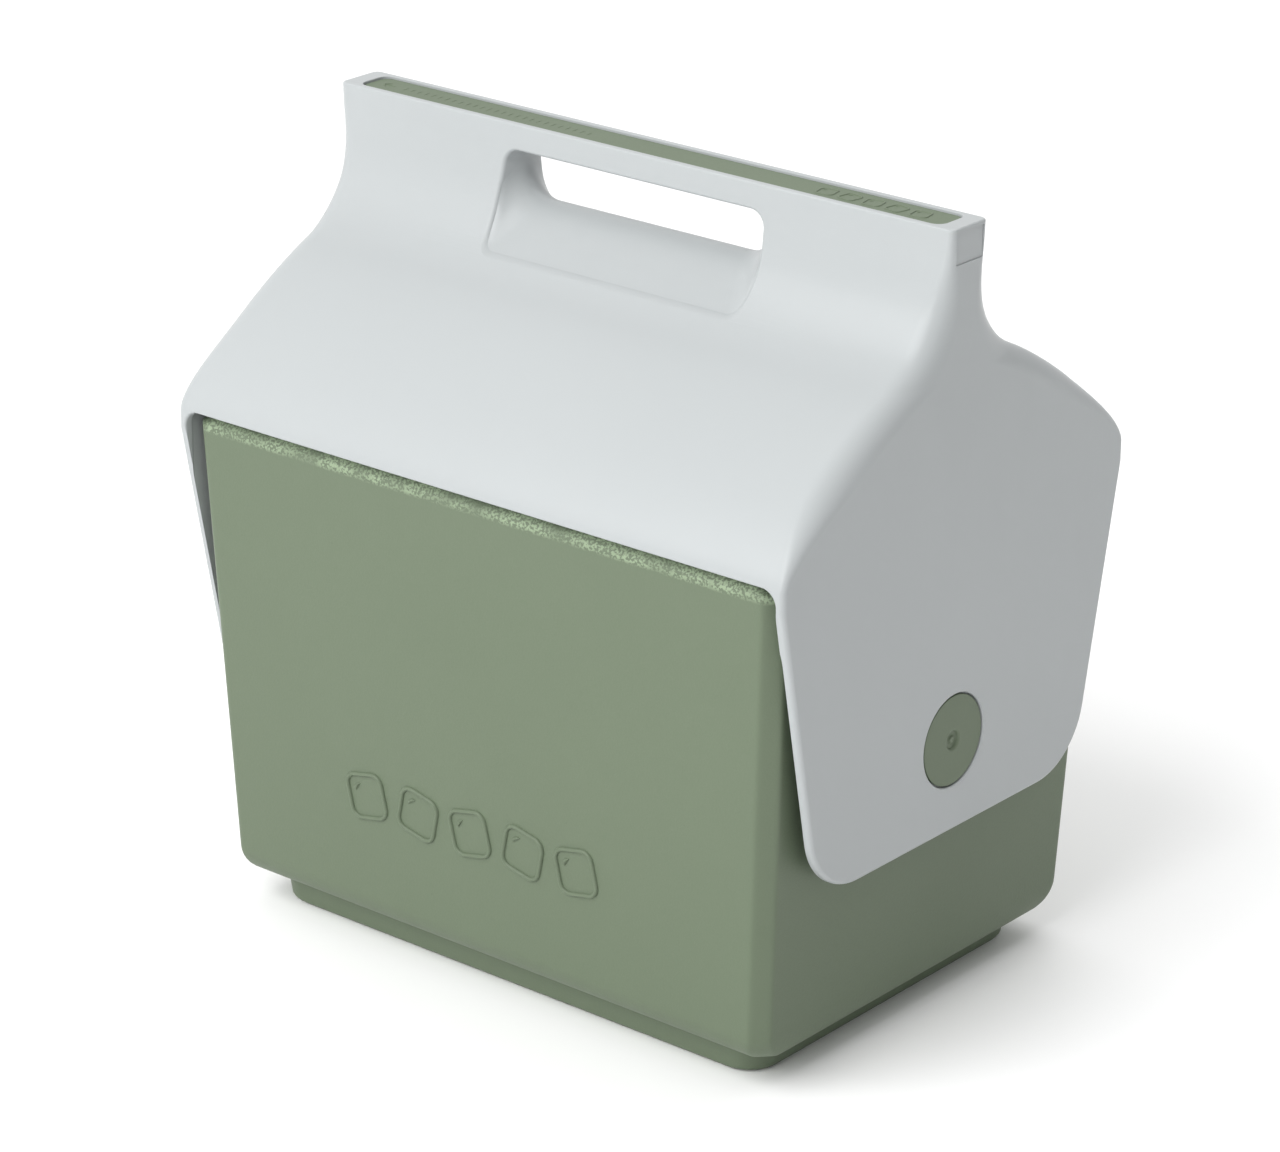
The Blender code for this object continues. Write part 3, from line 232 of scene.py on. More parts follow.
class CoolerStage(bpy.types.PropertyGroup):
    azimuth: FloatProperty(
        name="Azimuth", description="Camera round the object", default=radians(39.47), subtype="ANGLE"
    )
    elevation: FloatProperty(
        name="Elevation", description="Camera above the horizon", default=radians(21.49), subtype="ANGLE"
    )
    roll: FloatProperty(
        name="Roll", description="Camera about its own axis", default=radians(0.39), subtype="ANGLE"
    )
    distance: FloatProperty(
        name="Distance",
        description="Camera from its target",
        default=1.7097,
        unit="LENGTH",
        subtype="DISTANCE",
    )
    lens: FloatProperty(name="Lens", description="Focal length in millimetres", default=131.65)
    key_power: FloatProperty(
        name="Key light", description="Power of the large soft light", default=72.0, unit="POWER"
    )
    front_power: FloatProperty(
        name="Front light", description="Power of the low front light", default=4.5, unit="POWER"
    )
    rim_power: FloatProperty(
        name="Rim light", description="Power of the light behind", default=2.0, unit="POWER"
    )
    top_power: FloatProperty(
        name="Top light", description="Power of the light above", default=20.0, unit="POWER"
    )
    sky: FloatProperty(name="Sky", description="Strength of the white surroundings", default=0.70)


# ---------------------------------------------------------------- node trees
class Wire:
    """One output socket that takes part in sums: each operator adds the node that it stands for."""

    def __init__(self, bench, socket):
        self.bench = bench
        self.socket = socket

    def maths(self, operation, *values):
        return self.bench.node("ShaderNodeMath", {"operation": operation}, dict(enumerate(values)))

    def __add__(self, other):
        return self.maths("ADD", self, other)

    def __radd__(self, other):
        return self.maths("ADD", other, self)

    def __sub__(self, other):
        return self.maths("SUBTRACT", self, other)

    def __rsub__(self, other):
        return self.maths("SUBTRACT", other, self)

    def __mul__(self, other):
        return self.maths("MULTIPLY", self, other)

    def __rmul__(self, other):
        return self.maths("MULTIPLY", other, self)

    def above(self, edge, width):
        """0 below an edge and 1 above it, with a soft step as wide as given."""
        settings = {"interpolation_type": "SMOOTHSTEP", "clamp": True}
        limits = {0: self, 1: edge - width / 2, 2: edge + width / 2, 3: 0.0, 4: 1.0}
        return self.bench.node("ShaderNodeMapRange", settings, limits)


class Bench:
    """A node tree under construction."""

    def __init__(self, tree):
        self.tree = tree

    def node(self, kind, settings=None, inputs=None, output=0):
        made = self.tree.nodes.new(kind)
        for name, value in (settings or {}).items():
            if name == "stops":
                ramp = made.color_ramp.elements
                while len(ramp) < len(value):
                    ramp.new(0.5)
                for stop, (position, level) in zip(ramp, value):
                    stop.position = position
                    stop.color = (level, level, level, 1.0)
            else:
                setattr(made, name, value)
        for name, value in (inputs or {}).items():
            if isinstance(value, Wire):
                self.tree.links.new(value.socket, made.inputs[name])
            else:
                made.inputs[name].default_value = value
        return Wire(self, made.outputs[output])


class Finish(Bench):
    """A material whose pattern is laid out in object coordinates."""

    def __init__(self, name, colour, roughness, metallic=0.0, specular=0.5):
        self.material = bpy.data.materials.new(name)
        self.material.use_nodes = True
        super().__init__(self.material.node_tree)
        self.shader = self.tree.nodes["Principled BSDF"]
        self.shader.inputs["Metallic"].default_value = metallic
        self.shader.inputs["Specular IOR Level"].default_value = specular
        self.place = self.node("ShaderNodeTexCoord", output="Object")
        self.colour = (*colour, 1.0)
        self.roughness = roughness

    def stretched(self, x, y, z):
        values = {"Vector": self.place, "Scale": (x, y, z)}
        return self.node("ShaderNodeMapping", {"vector_type": "POINT"}, values)

    def noise(self, scale, detail=3.0, roughness=0.55, place=None):
        values = {"Vector": place or self.place, "Scale": scale, "Detail": detail, "Roughness": roughness}
        return self.node("ShaderNodeTexNoise", {"noise_dimensions": "3D"}, values)

    def cells(self, scale, feature="F1", smooth=1.0):
        values = {"Vector": self.place, "Scale": scale, "Randomness": 1.0}
        if feature == "SMOOTH_F1":
            values["Smoothness"] = smooth
        return self.node("ShaderNodeTexVoronoi", {"feature": feature}, values)

    def height_above_ground(self):
        return self.node("ShaderNodeSeparateXYZ", None, {0: self.place}, output="Z")

    def blend(self, factor, a, b):
        return self.node("ShaderNodeMix", {"data_type": "RGBA"}, {0: factor, 6: a, 7: b}, output=2)

    def shade(self, factor, amount):
        """This finish's colour, darker by a share where the factor is 1."""
        dark = tuple(c * (1 - amount) for c in self.colour[:3]) + (1.0,)
        return self.blend(factor, self.colour, dark)

    def relief(self, height, depth, below=None):
        values = {"Strength": 1.0, "Distance": depth, "Height": height}
        if below:
            values["Normal"] = below
        return self.node("ShaderNodeBump", None, values)

    def done(self, colour=None, roughness=None, normal=None):
        given = {"Base Color": colour or self.colour, "Roughness": roughness or self.roughness}
        for name, value in given.items():
            if isinstance(value, Wire):
                self.tree.links.new(value.socket, self.shader.inputs[name])
            else:
                self.shader.inputs[name].default_value = value
        if normal:
            self.tree.links.new(normal.socket, self.shader.inputs["Normal"])
        return self.material


def finish_named(name, make):
    return bpy.data.materials.get(name) or make(name)


def glossy_grey():
    """Cool grey lid plastic: glossy, a trace of flow in the moulding, faint rub marks."""

    def make(name):
        look = Finish(name, bpy.context.scene.cooler_colours.lid, 0.33, specular=0.30)
        swell = look.noise(11.0, 1.0)
        peel = look.noise(420.0, 1.0)
        rub = look.noise(1.0, 4.0, 0.6, look.stretched(16, 30, 12)).above(0.60, 0.22)
        dust = 1 - look.cells(38.0).above(0.016, 0.008)
        tone = look.shade(swell.above(0.5, 0.6) * 0.35 + rub * 0.2 + dust, 0.035)
        roughness = 0.27 + peel * 0.03 + rub * 0.06
        normal = look.relief(swell, 0.35 * MM)
        normal = look.relief(peel, 0.004 * MM, normal)
        return look.done(tone, roughness, normal)

    return finish_named("glossy_grey", make)


def pebbled_green(name="pebbled_green", depth=0.055, band=0.0):
    """Sage green moulding with a spark-eroded pebble, which is coarser on the box's top band, where light
    flecks are painted in as sparkle highlights.
    """

    def make(name):
        look = Finish(name, bpy.context.scene.cooler_colours.body, 0.46, specular=0.36)
        broad = look.noise(14.0, 3.0)
        pebble = look.cells(1150.0, "SMOOTH_F1", 0.6) * 0.7 + look.noise(2100.0, 1.0) * 0.5
        dust = 1 - look.cells(70.0).above(0.03, 0.02)
        level = look.height_above_ground()
        coarse = level.above(BODY_TOP_Z - 5.5 * MM, 2 * MM) * band
        tone = look.shade(broad * 0.45 + pebble * 0.35 + dust, 0.10)
        if band:
            # painted highlight: on the top band, flecks lightened towards twice the green stand in for the
            # sparkle of light glancing off the coarse pebble
            painted_sparkle = look.noise(1050.0, 2.0).above(0.50, 0.12) * look.noise(60.0, 2.0).above(0.42, 0.5)
            light = tuple(c * 2.1 for c in look.colour[:3]) + (1.0,)
            tone = look.blend(painted_sparkle * coarse * 0.42, tone, light)
        roughness = 0.40 + broad * 0.08 + pebble * 0.06
        normal = look.relief(broad, 0.5 * MM)
        normal = look.relief(pebble * (1 + coarse), depth * MM, normal)
        return look.done(tone, roughness, normal)

    return finish_named(name, make)


def tub_white():
    def make(name):
        look = Finish(name, bpy.context.scene.cooler_colours.liner, 0.36, specular=0.4)
        broad = look.noise(18.0, 3.0)
        matte = look.cells(900.0, "SMOOTH_F1", 0.8)
        draw = look.noise(1.0, 2.0, 0.5, look.stretched(150, 150, 6))
        tone = look.shade(broad * 0.6 + matte * 0.2, 0.05)
        normal = look.relief(matte + draw * 0.8, 0.03 * MM)
        return look.done(tone, 0.32 + matte * 0.10, normal)

    return finish_named("tub_white", make)


def poured_foam():
    def make(name):
        look = Finish(name, bpy.context.scene.cooler_colours.foam, 0.92, specular=0.2)
        bubbles = look.cells(520.0, "SMOOTH_F1", 0.4)
        flow = look.noise(45.0, 4.0)
        tone = look.shade(bubbles * 0.5 + flow * 0.5, 0.28)
        return look.done(tone, 0.86 + flow * 0.1, look.relief(bubbles + flow * 2, 0.35 * MM))

    return finish_named("poured_foam", make)


def turned_nylon():
    def make(name):
        look = Finish(name, bpy.context.scene.cooler_colours.nylon, 0.34)
        cloud = look.noise(160.0, 3.0)
        lines = look.noise(1.0, 2.0, 0.5, look.stretched(1600, 120, 120))
        normal = look.relief(lines, 0.015 * MM)
        return look.done(look.shade(cloud, 0.06), 0.28 + cloud * 0.12, normal)

    return finish_named("turned_nylon", make)


def spring_steel():
    def make(name):
        look = Finish(name, bpy.context.scene.cooler_colours.steel, 0.30, metallic=1.0)
        drawn = look.noise(1.0, 3.0, 0.6, look.stretched(90, 2600, 2600))
        stain = look.noise(130.0, 3.0).above(0.6, 0.2)
        normal = look.relief(drawn, 0.012 * MM)
        tone = look.shade(stain * 0.5 + drawn * 0.3, 0.18)
        return look.done(tone, 0.20 + drawn * 0.16 + stain * 0.08, normal)

    return finish_named("spring_steel", make)


# ---------------------------------------------------------------- mesh helpers
def put(name, bm, recalc=True):
    """A mesh object in the scene at the origin, with its faces pointing outwards."""
    if recalc:
        bmesh.ops.recalc_face_normals(bm, faces=bm.faces)
    mesh = bpy.data.meshes.new(name)
    bm.to_mesh(mesh)
    bm.free()
    obj = bpy.data.objects.new(name, mesh)
    bpy.context.scene.collection.objects.link(obj)
    return obj


def baked(obj):
    """Replace an object's mesh by its evaluated one and drop its modifiers."""
    bpy.context.view_layer.update()
    mesh = bpy.data.meshes.new_from_object(obj.evaluated_get(bpy.context.evaluated_depsgraph_get()))
    obj.modifiers.clear()
    obj.data = mesh
    return obj


def carve(obj, *steps):
    """Exact booleans in order, each a pair of operation and object, whose objects are then removed."""
    for operation, other in steps:
        modifier = obj.modifiers.new(operation, "BOOLEAN")
        modifier.operation = operation
        modifier.object = other
        modifier.solver = "EXACT"
    baked(obj)
    for _, other in steps:
        bpy.data.objects.remove(other)
    return obj


def polish(obj, material, sharp=34):
    """Merge doubles, shade smooth up to an angle, and let large faces keep their own direction."""
    bm = bmesh.new()
    bm.from_mesh(obj.data)
    bmesh.ops.remove_doubles(bm, verts=bm.verts, dist=2e-6)
    bmesh.ops.dissolve_degenerate(bm, edges=bm.edges, dist=1e-6)
    bm.to_mesh(obj.data)
    bm.free()
    obj.data.shade_smooth()
    obj.data.set_sharp_from_angle(angle=radians(sharp))
    weighted = obj.modifiers.new("Face weights", "WEIGHTED_NORMAL")
    weighted.mode = "FACE_AREA"
    weighted.weight = 50
    weighted.keep_sharp = True
    baked(obj)
    obj.data.materials.clear()
    obj.data.materials.append(material)
    return obj


def settle(obj, body, slot, *nodes):
    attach(obj, body)
    if nodes:
        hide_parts(*nodes)
    return obj


def arc(center, radius, start, end, steps=ARC_STEPS):
    angles = [radians(start + (end - start) * i / steps) for i in range(steps + 1)]
    return [(center[0] + radius * cos(a), center[1] + radius * sin(a)) for a in angles]


def rounded_rectangle(
    half_u, low_v, high_v, low_radius, high_radius, steps=ARC_STEPS, span=4 * MM, pieces=None
):
    """Anticlockwise outline with its straight sides split into short spans, or into a given number."""
    points = arc((half_u - low_radius, low_v + low_radius), low_radius, -90, 0, steps)
    points += arc((half_u - high_radius, high_v - high_radius), high_radius, 0, 90, steps)
    points += arc((-half_u + high_radius, high_v - high_radius), high_radius, 90, 180, steps)
    points += arc((-half_u + low_radius, low_v + low_radius), low_radius, 180, 270, steps)
    split = []
    for i, (here, there) in enumerate(zip(points, points[1:] + points[:1])):
        split.append(here)
        if (i + 1) % (steps + 1):
            continue
        du, dv = there[0] - here[0], there[1] - here[1]
        count = pieces or int(hypot(du, dv) / span) + 1
        split += [(here[0] + du * k / count, here[1] + dv * k / count) for k in range(1, count)]
    return split


def spread_out(points, distance):
    """A closed anticlockwise outline moved outwards along its normals."""
    moved = []
    for i, (u, v) in enumerate(points):
        before, after = points[i - 1], points[(i + 1) % len(points)]
        du, dv = after[0] - before[0], after[1] - before[1]
        length = hypot(du, dv)
        moved.append((u + distance * dv / length, v - distance * du / length))
    return moved


def skin(name, rings, tube=False):
    """Quads between rings of equal count, closed at both ends or joined round into a tube."""
    bm = bmesh.new()
    loops = [[bm.verts.new(point) for point in points] for points in rings]
    pairs = list(zip(loops, loops[1:])) + ([(loops[-1], loops[0])] if tube else [])
    for lower, upper in pairs:
        for i in range(len(lower)):
            j = (i + 1) % len(lower)
            bm.faces.new((lower[i], lower[j], upper[j], upper[i]))
    if not tube:
        bm.faces.new(loops[0][::-1])
        bm.faces.new(loops[-1])
    return put(name, bm)


def drawn_out(name, outline, sections, axis):
    """An outline carried along an axis through sections of (place, spread)."""
    rings = []
    for place, spread in sections:
        points = spread_out(outline, spread) if spread else outline
        rings.append([{"X": (place, u, v), "Y": (u, place, v), "Z": (u, v, place)}[axis] for u, v in points])
    return skin(name, rings)


def lip(radius, last=72, steps=7, beyond=2 * MM):
    """Sections of (depth below a face, spread) for a cutter that leaves a rounded lip, outermost first."""
    angles = [radians(last * i / steps) for i in range(steps + 1)]
    sections = [(radius * (1 - sin(a)), radius * (1 - cos(a))) for a in angles]
    depth, spread = sections[-1]
    return [(-beyond, spread + (depth + beyond) * tan(radians(last)))] + sections[::-1]


def through(outline, name, axis, half, radius, beyond=2 * MM):
    """A cutter right through, with a rounded lip at both of the faces at -half and +half."""
    near = [(half - depth, spread) for depth, spread in lip(radius, beyond=beyond)]
    return drawn_out(name, outline, near + [(-place, spread) for place, spread in near[::-1]], axis)


def rod(name, radius, start, end):
    bm = bmesh.new()
    size = {"radius1": radius, "radius2": radius, "depth": end - start}
    bmesh.ops.create_cone(bm, cap_ends=True, segments=ROUND_SIDES, **size)
    turn = Matrix.Translation(((start + end) / 2, 0, PIVOT_Z)) @ Matrix.Rotation(pi / 2, 4, "Y")
    bmesh.ops.transform(bm, matrix=turn, verts=bm.verts)
    return put(name, bm)


def block(name, low, high):
    bm = bmesh.new()
    bmesh.ops.create_cube(bm, size=1)
    size, middle = Vector(high) - Vector(low), (Vector(high) + Vector(low)) / 2
    bmesh.ops.transform(bm, matrix=Matrix.Translation(middle) @ Matrix.Diagonal((*size, 1)), verts=bm.verts)
    return put(name, bm)


def spun(name, profile, place=Matrix.Identity(4), sides=ROUND_SIDES):
    """A profile of (radius, height) turned about Z and set in place; it starts and ends on the axis."""
    bm = bmesh.new()
    rings = []
    for radius, height in profile:
        if radius == 0:
            rings.append([bm.verts.new((0, 0, height))])
        else:
            turns = [2 * pi * i / sides for i in range(sides)]
            rings.append([bm.verts.new((radius * cos(a), radius * sin(a), height)) for a in turns])
    pairs = list(zip(rings, rings[1:]))
    if len(rings[0]) > 1:
        pairs.append((rings[-1], rings[0]))
    for lower, upper in pairs:
        for i in range(sides):
            j = (i + 1) % sides
            corners = [lower[i % len(lower)], lower[j % len(lower)]]
            corners += [upper[j % len(upper)], upper[i % len(upper)]]
            face = list(dict.fromkeys(corners))
            if len(face) > 2:
                bm.faces.new(face)
    bmesh.ops.transform(bm, matrix=place, verts=bm.verts)
    return put(name, bm)


def eased(profile, radius, steps=4):
    """Round each corner of an open (u, v) profile by a radius, where its sides are long enough."""
    points = [Vector(p) for p in profile]
    result = [points[0]]
    for before, here, after in zip(points, points[1:], points[2:]):
        back, on = before - here, after - here
        reach = min(radius, back.length * 0.45, on.length * 0.45)
        start, end = here + back.normalized() * reach, here + on.normalized() * reach
        for i in range(steps + 1):
            t = i / steps
            result.append(start * (1 - t) ** 2 + here * 2 * t * (1 - t) + end * t * t)
    return [tuple(p) for p in result + [points[-1]]]


def ease(value, start, end):
    share = min(1.0, max(0.0, (value - start) / (end - start)))
    return share * share * (3 - 2 * share)


# ---------------------------------------------------------------- level sections
def round_corner(steps=CORNER_STEPS):
    return [(sin(pi / 2 * i / steps), cos(pi / 2 * i / steps)) for i in range(steps + 1)]


def soft_chamfer(share=0.30, steps=5):
    """A flat chamfer with eased ends, in a unit square."""
    past = 2 * share
    bend = (share, 1, 0)
    points = interpolate_bezier((0, 1, 0), bend, bend, (past, 1 + share - past, 0), steps + 1)
    first = [(p[0], p[1]) for p in points]
    return first + [(v, u) for u, v in reversed(first)][1:]


ROUND = round_corner()
CHAMFERED = soft_chamfer()


def ring(half_x, half_y, z, leg_x, leg_y=None, corner=ROUND):
    leg_y = leg_x if leg_y is None else leg_y
    quarter = [(half_x - leg_x * (1 - u), half_y - leg_y * (1 - v)) for u, v in corner]
    right = quarter[::-1]
    points = right + [(-x, y) for x, y in quarter]
    points += [(-x, -y) for x, y in points]
    return [(x, y, z) for x, y in points]


def lid_profile(steps=PROFILE_STEPS):
    """Half of the lid's outline seen from the end, as (y, z) from the lower edge up to the top."""
    low, knee = Vector((HALF_DEPTH, LID_EDGE_Z, 0)), Vector((*KNEE, 0))
    lean = Vector((1, -0.47, 0))
    rise = Vector((NECK_HALF, TOP_Z - 8 * MM, 0))
    from_low, from_rise = Vector((-2.5, 14, 0)) * MM, Vector((0.4, -20, 0)) * MM
    shoulder = interpolate_bezier(low, low + from_low, knee + lean * 25 * MM, knee, steps + 1)
    flare = interpolate_bezier(knee, knee - lean * 18 * MM, rise + from_rise, rise, steps + 1)
    return [(p[0], p[1]) for p in shoulder] + [(p[0], p[1]) for p in flare[1:]] + [(NECK_HALF, TOP_Z)]


LID_LINE = lid_profile()


def half_depth_at(z):
    """The lid's half depth at a height, read off its profile."""
    if z <= LID_LINE[0][1]:
        return LID_LINE[0][0]
    for (y0, z0), (y1, z1) in zip(LID_LINE, LID_LINE[1:]):
        if z <= z1:
            return y0 + (y1 - y0) * (z - z0) / (z1 - z0)
    return LID_LINE[-1][0]


def inward(points, distance):
    moved = []
    for i, (y, z) in enumerate(points):
        before, after = points[max(0, i - 1)], points[min(len(points) - 1, i + 1)]
        dy, dz = after[0] - before[0], after[1] - before[1]
        length = hypot(dy, dz)
        moved.append((y - distance * dz / length, z + distance * dy / length))
    return moved


def corner_leg(z):
    """How far the lid's long faces round into its ends at this height."""
    swell = ease(z, LID_EDGE_Z, LID_EDGE_Z + 30 * MM) * (1 - ease(z, TOP_Z - 38 * MM, TOP_Z - 2 * MM))
    return (2.5 + 7.5 * swell) * MM


def lid_rings(inset, end_x, bottom_z, top_z, top_round=0.0):
    moved = inward(LID_LINE, inset)
    levels = [(0, moved[0][0], bottom_z)]
    highest = top_z - max(MM, top_round + 0.2 * MM)
    levels += [(i, y, z) for i, (y, z) in enumerate(moved) if LID_EDGE_Z - PAST < z < highest]
    levels.append((len(moved) - 1, moved[-1][0], top_z - top_round))
    rings = []
    for i, y, z in levels:
        before, after = LID_LINE[max(0, i - 1)], LID_LINE[min(len(LID_LINE) - 1, i + 1)]
        rise = max(0.4, (after[1] - before[1]) / hypot(after[0] - before[0], after[1] - before[1]))
        leg_x = max(1.5 * MM, corner_leg(LID_LINE[i][1]) - inset)
        rings.append(ring(end_x, y, z, leg_x, min(leg_x / rise, y - MM)))
    if top_round:
        leg = max(1.5 * MM, corner_leg(TOP_Z))
        for i in range(1, 6):
            a = pi / 2 * i / 5
            shrink = top_round * (1 - cos(a))
            rings.append(ring(end_x - shrink, moved[-1][0] - shrink, top_z - top_round * (1 - sin(a)), leg))
    return rings


def hugging(outline, sections):
    """Rings that keep to the lid's rear face, through sections of (depth below the face, spread)."""
    rings = []
    for depth, spread in sections:
        points = spread_out(outline, spread) if spread else outline
        rings.append([(u, half_depth_at(v) - depth, v) for u, v in points])
    return rings


# ---------------------------------------------------------------- lid
def flap_side(steps=24):
    top = Vector((HALF_DEPTH, FLAP_SHOULDER_Z))
    corner = Vector((HALF_DEPTH - 22.5 * MM, FLAP_BOTTOM_Z))
    lean = atan2(top.x - corner.x, top.y - corner.y)
    radius = 28 * MM
    center = (corner.x - radius * tan((pi / 2 - lean) / 2), corner.y + radius)
    curve = arc(center, radius, -lean * 180 / pi, -90, steps)
    start = Vector(curve[0])
    straight = [tuple(top.lerp(start, i / 12)) for i in range(12)]
    return straight + curve


def flap_surround(radius):
    """Everything round the end flaps, with a rounded lip at the flaps' outer faces."""
    right = flap_side()
    left = [(-y, z) for y, z in reversed(right)]
    far_y, far_z = HALF_DEPTH + PAST, FLAP_BOTTOM_Z - PAST
    outside = [(-far_y, FLAP_SHOULDER_Z), (-far_y, far_z), (far_y, far_z), (far_y, FLAP_SHOULDER_Z)]
    edge = right + left

    def section(place, spread):
        moved = [(y, z) for y, z in edge]
        if spread:
            moved = []
            for i, (y, z) in enumerate(edge):
                before, after = edge[max(0, i - 1)], edge[min(len(edge) - 1, i + 1)]
                dy, dz = after[0] - before[0], after[1] - before[1]
                length = hypot(dy, dz)
                moved.append((y + spread * dz / length, z - spread * dy / length))
        return [(place, y, z) for y, z in outside + moved]

    near = [(HALF_WIDTH - depth, spread) for depth, spread in lip(radius, beyond=1 * MM)]
    places = near + [(-place, spread) for place, spread in near[::-1]]
    return skin("cut_flap_surround", [section(*p) for p in places])


def slot_section(share):
    """The carrying slot's outline, from its mouth (0) to the crest of its floor (1)."""
    low_radius = SLOT_MOUTH_RADIUS + (SLOT_CREST_RADIUS - SLOT_MOUTH_RADIUS) * share
    half, floor_z = SLOT_HALF - SLOT_NARROWING * share, SLOT_FLOOR_Z + SLOT_CREST_RISE * share
    return rounded_rectangle(half, floor_z, SLOT_ROOF_Z, low_radius, 6 * MM, pieces=24)


def slot_cutter(radius):
    """Widest at the lid's faces, where it leaves rounded lips, with a floor that rises between them."""
    last = 40
    sections = [slot_section(k / last) for k in range(last + 1)]
    count = len(sections[0])

    def at(i, y):
        place = last * (1 - ease(abs(y), 0, SLOT_CREST_REACH))
        k = min(last - 1, int(place))
        (u0, v0), (u1, v1) = sections[k][i], sections[k + 1][i]
        return u0 + (u1 - u0) * (place - k), v0 + (v1 - v0) * (place - k)

    mouths = [half_depth_at(v) for u, v in sections[0]]
    for _ in range(12):
        mouths = [half_depth_at(at(i, mouths[i])[1]) for i in range(count)]

    def face(side, depth, spread):
        points = spread_out([at(i, mouths[i] - max(depth, 0)) for i in range(count)], spread)
        return [(u, side * (half_depth_at(v) - depth), v) for u, v in points]

    near = [face(1, *section) for section in lip(radius)]
    far = [face(-1, *section) for section in lip(radius)[::-1]]
    tunnel = []
    for step in range(1, 16):
        ys = [(mouths[i] - radius) * (1 - step / 8) for i in range(count)]
        tunnel.append([(at(i, y)[0], y, at(i, y)[1]) for i, y in enumerate(ys)])
    return skin("cut_slot", near + tunnel + far)


def strip_outline(spread=0.0):
    half_y = NECK_HALF - 2.7 * MM + spread
    return rounded_rectangle(HALF_WIDTH - 7.5 * MM + spread, -half_y, half_y, 4 * MM, 4 * MM, span=20 * MM)


def button_outline(spread=0.0):
    low_z, high_z = BUTTON_FOOT_Z - spread, BUTTON_TOP_Z + spread
    return rounded_rectangle(BUTTON_HALF + spread, low_z, high_z, BUTTON_CORNER, BUTTON_CORNER, span=3 * MM)


class COOLER_OT_lid(bpy.types.Operator):
    """Mould the lid: ridge, carrying slot and two end flaps"""

    bl_idname = "cooler.lid"
    bl_label = "Lid"

    def execute(self, context):
        sizes = context.scene.cooler_sizes
        lid = skin("lid_moulding", lid_rings(0.0, HALF_WIDTH, FLAP_BOTTOM_Z, TOP_Z, sizes.rim_round))
        hollow = lid_rings(LID_WALL, FLAP_INNER_X, FLAP_BOTTOM_Z - PAST, NECK_CAVITY_TOP_Z)
        cavity = skin("cut_cavity", hollow)
        kept = SLOT_HALF + LID_WALL + sizes.slot_lip
        bar = block("keep_bar", (-kept, -80 * MM, SLOT_FLOOR_Z - LID_WALL - MM), (kept, 80 * MM, TOP_Z))
        carve(cavity, ("DIFFERENCE", bar))
        window_outline = rounded_rectangle(
            FLAP_INNER_X - 0.5 * MM, FLAP_BOTTOM_Z - PAST, LID_EDGE_Z, MM, 6 * MM, span=400 * MM
        )
        window = through(window_outline, "cut_window", "Y", HALF_DEPTH, sizes.edge_round, beyond=1 * MM)
        edge = lip(0.35 * MM, last=65, steps=3, beyond=0.6 * MM)
        strip_edge = [(TOP_Z - depth, spread) for depth, spread in edge]
        pocket = drawn_out("cut_pocket", strip_outline(GAP), [(STRIP_FLOOR_Z, 0.0)] + strip_edge[::-1], "Z")
        steps = [("DIFFERENCE", cutter) for cutter in (cavity, window, flap_surround(sizes.flap_round))]
        steps += [("DIFFERENCE", slot_cutter(sizes.slot_lip)), ("DIFFERENCE", pocket)]
        for start, end in ((FLAP_BOSS_FACE_X, HALF_WIDTH - MM), (-HALF_WIDTH + MM, -FLAP_BOSS_FACE_X)):
            steps.append(("UNION", rod("add_boss", FLAP_BOSS_RADIUS, start, end)))
        steps.append(("DIFFERENCE", rod("cut_bore", FLAP_BORE_RADIUS, -HALF_WIDTH - PAST, HALF_WIDTH + PAST)))
        head = (PLUG_HIGH.z - PLUG_LOW.z) / 2 + 0.6 * MM
        seat = [(0, COUNTERBORE_FLOOR_X), (head, COUNTERBORE_FLOOR_X), (head, HALF_WIDTH - 0.5 * MM)]
        seat += [(head + 0.15 * MM, HALF_WIDTH - 0.2 * MM), (head + 1.5 * MM, HALF_WIDTH + MM)]
        seat.append((0, HALF_WIDTH + MM))
        for side in (1, -1):
            place = Matrix.Translation((0, 0, PIVOT_Z)) @ Matrix.Rotation(side * pi / 2, 4, "Y")
            steps.append(("DIFFERENCE", spun("cut_seat", seat, place)))
            start, end = sorted((side * (HALF_WIDTH - END_PANEL_DEPTH), side * (HALF_WIDTH + MM)))
            low, high = (start, -END_PANEL_HALF, TOP_Z - 13 * MM), (end, END_PANEL_HALF, TOP_Z - 1.6 * MM)
            steps.append(("DIFFERENCE", block("cut_end_panel", low, high)))
        edge = lip(0.5 * MM, last=65, steps=3, beyond=MM)
        hole = skin("cut_button_hole", hugging(button_outline(GAP), edge + [(BUTTON_HOLE_DEPTH, 0.0)]))
        steps.append(("DIFFERENCE", hole))
        carve(lid, *steps)
        polish(lid, glossy_grey())
        settle(lid, "lid", "lid_grey", "lid_shell")
        return {"FINISHED"}


class COOLER_OT_strip(bpy.types.Operator):
    """Make the coloured strip in the top of the handle, with its snap legs"""

    bl_idname = "cooler.strip"
    bl_label = "Handle strip"

    def execute(self, context):
        top = STRIP_HIGH.z
        low = top - 3 * MM
        soft = 0.4 * MM
        turns = [pi / 2 * i / 4 for i in range(5)]
        edge = [(low, 0.0)] + [(top - soft * (1 - sin(a)), -soft * (1 - cos(a))) for a in turns]
        strip = drawn_out("handle_strip_insert", strip_outline(), edge, "Z")
        reach, catch_z = 1.2 * MM, STRIP_LOW.z + 3 * MM
        leg = [
            (-reach, low + MM),
            (-reach, catch_z - 3 * MM),
            (reach / 2, catch_z - 3 * MM),
            (reach + 0.9 * MM, catch_z - MM),
            (reach + 0.9 * MM, catch_z),
            (reach, catch_z),
            (reach, low + MM),
        ]
        legs = []
        for inset in (25 * MM, 60 * MM):
            for side in (-1, 1):
                middle = side * (HALF_WIDTH - inset)
                legs.append(drawn_out("add_leg", leg, [(middle - 4 * MM, 0.0), (middle + 4 * MM, 0.0)], "X"))
        carve(strip, *[("UNION", other) for other in legs])
        polish(strip, pebbled_green("strip_green", 0.012))
        settle(strip, "lid", "body_green", "handle_strip")
        return {"FINISHED"}


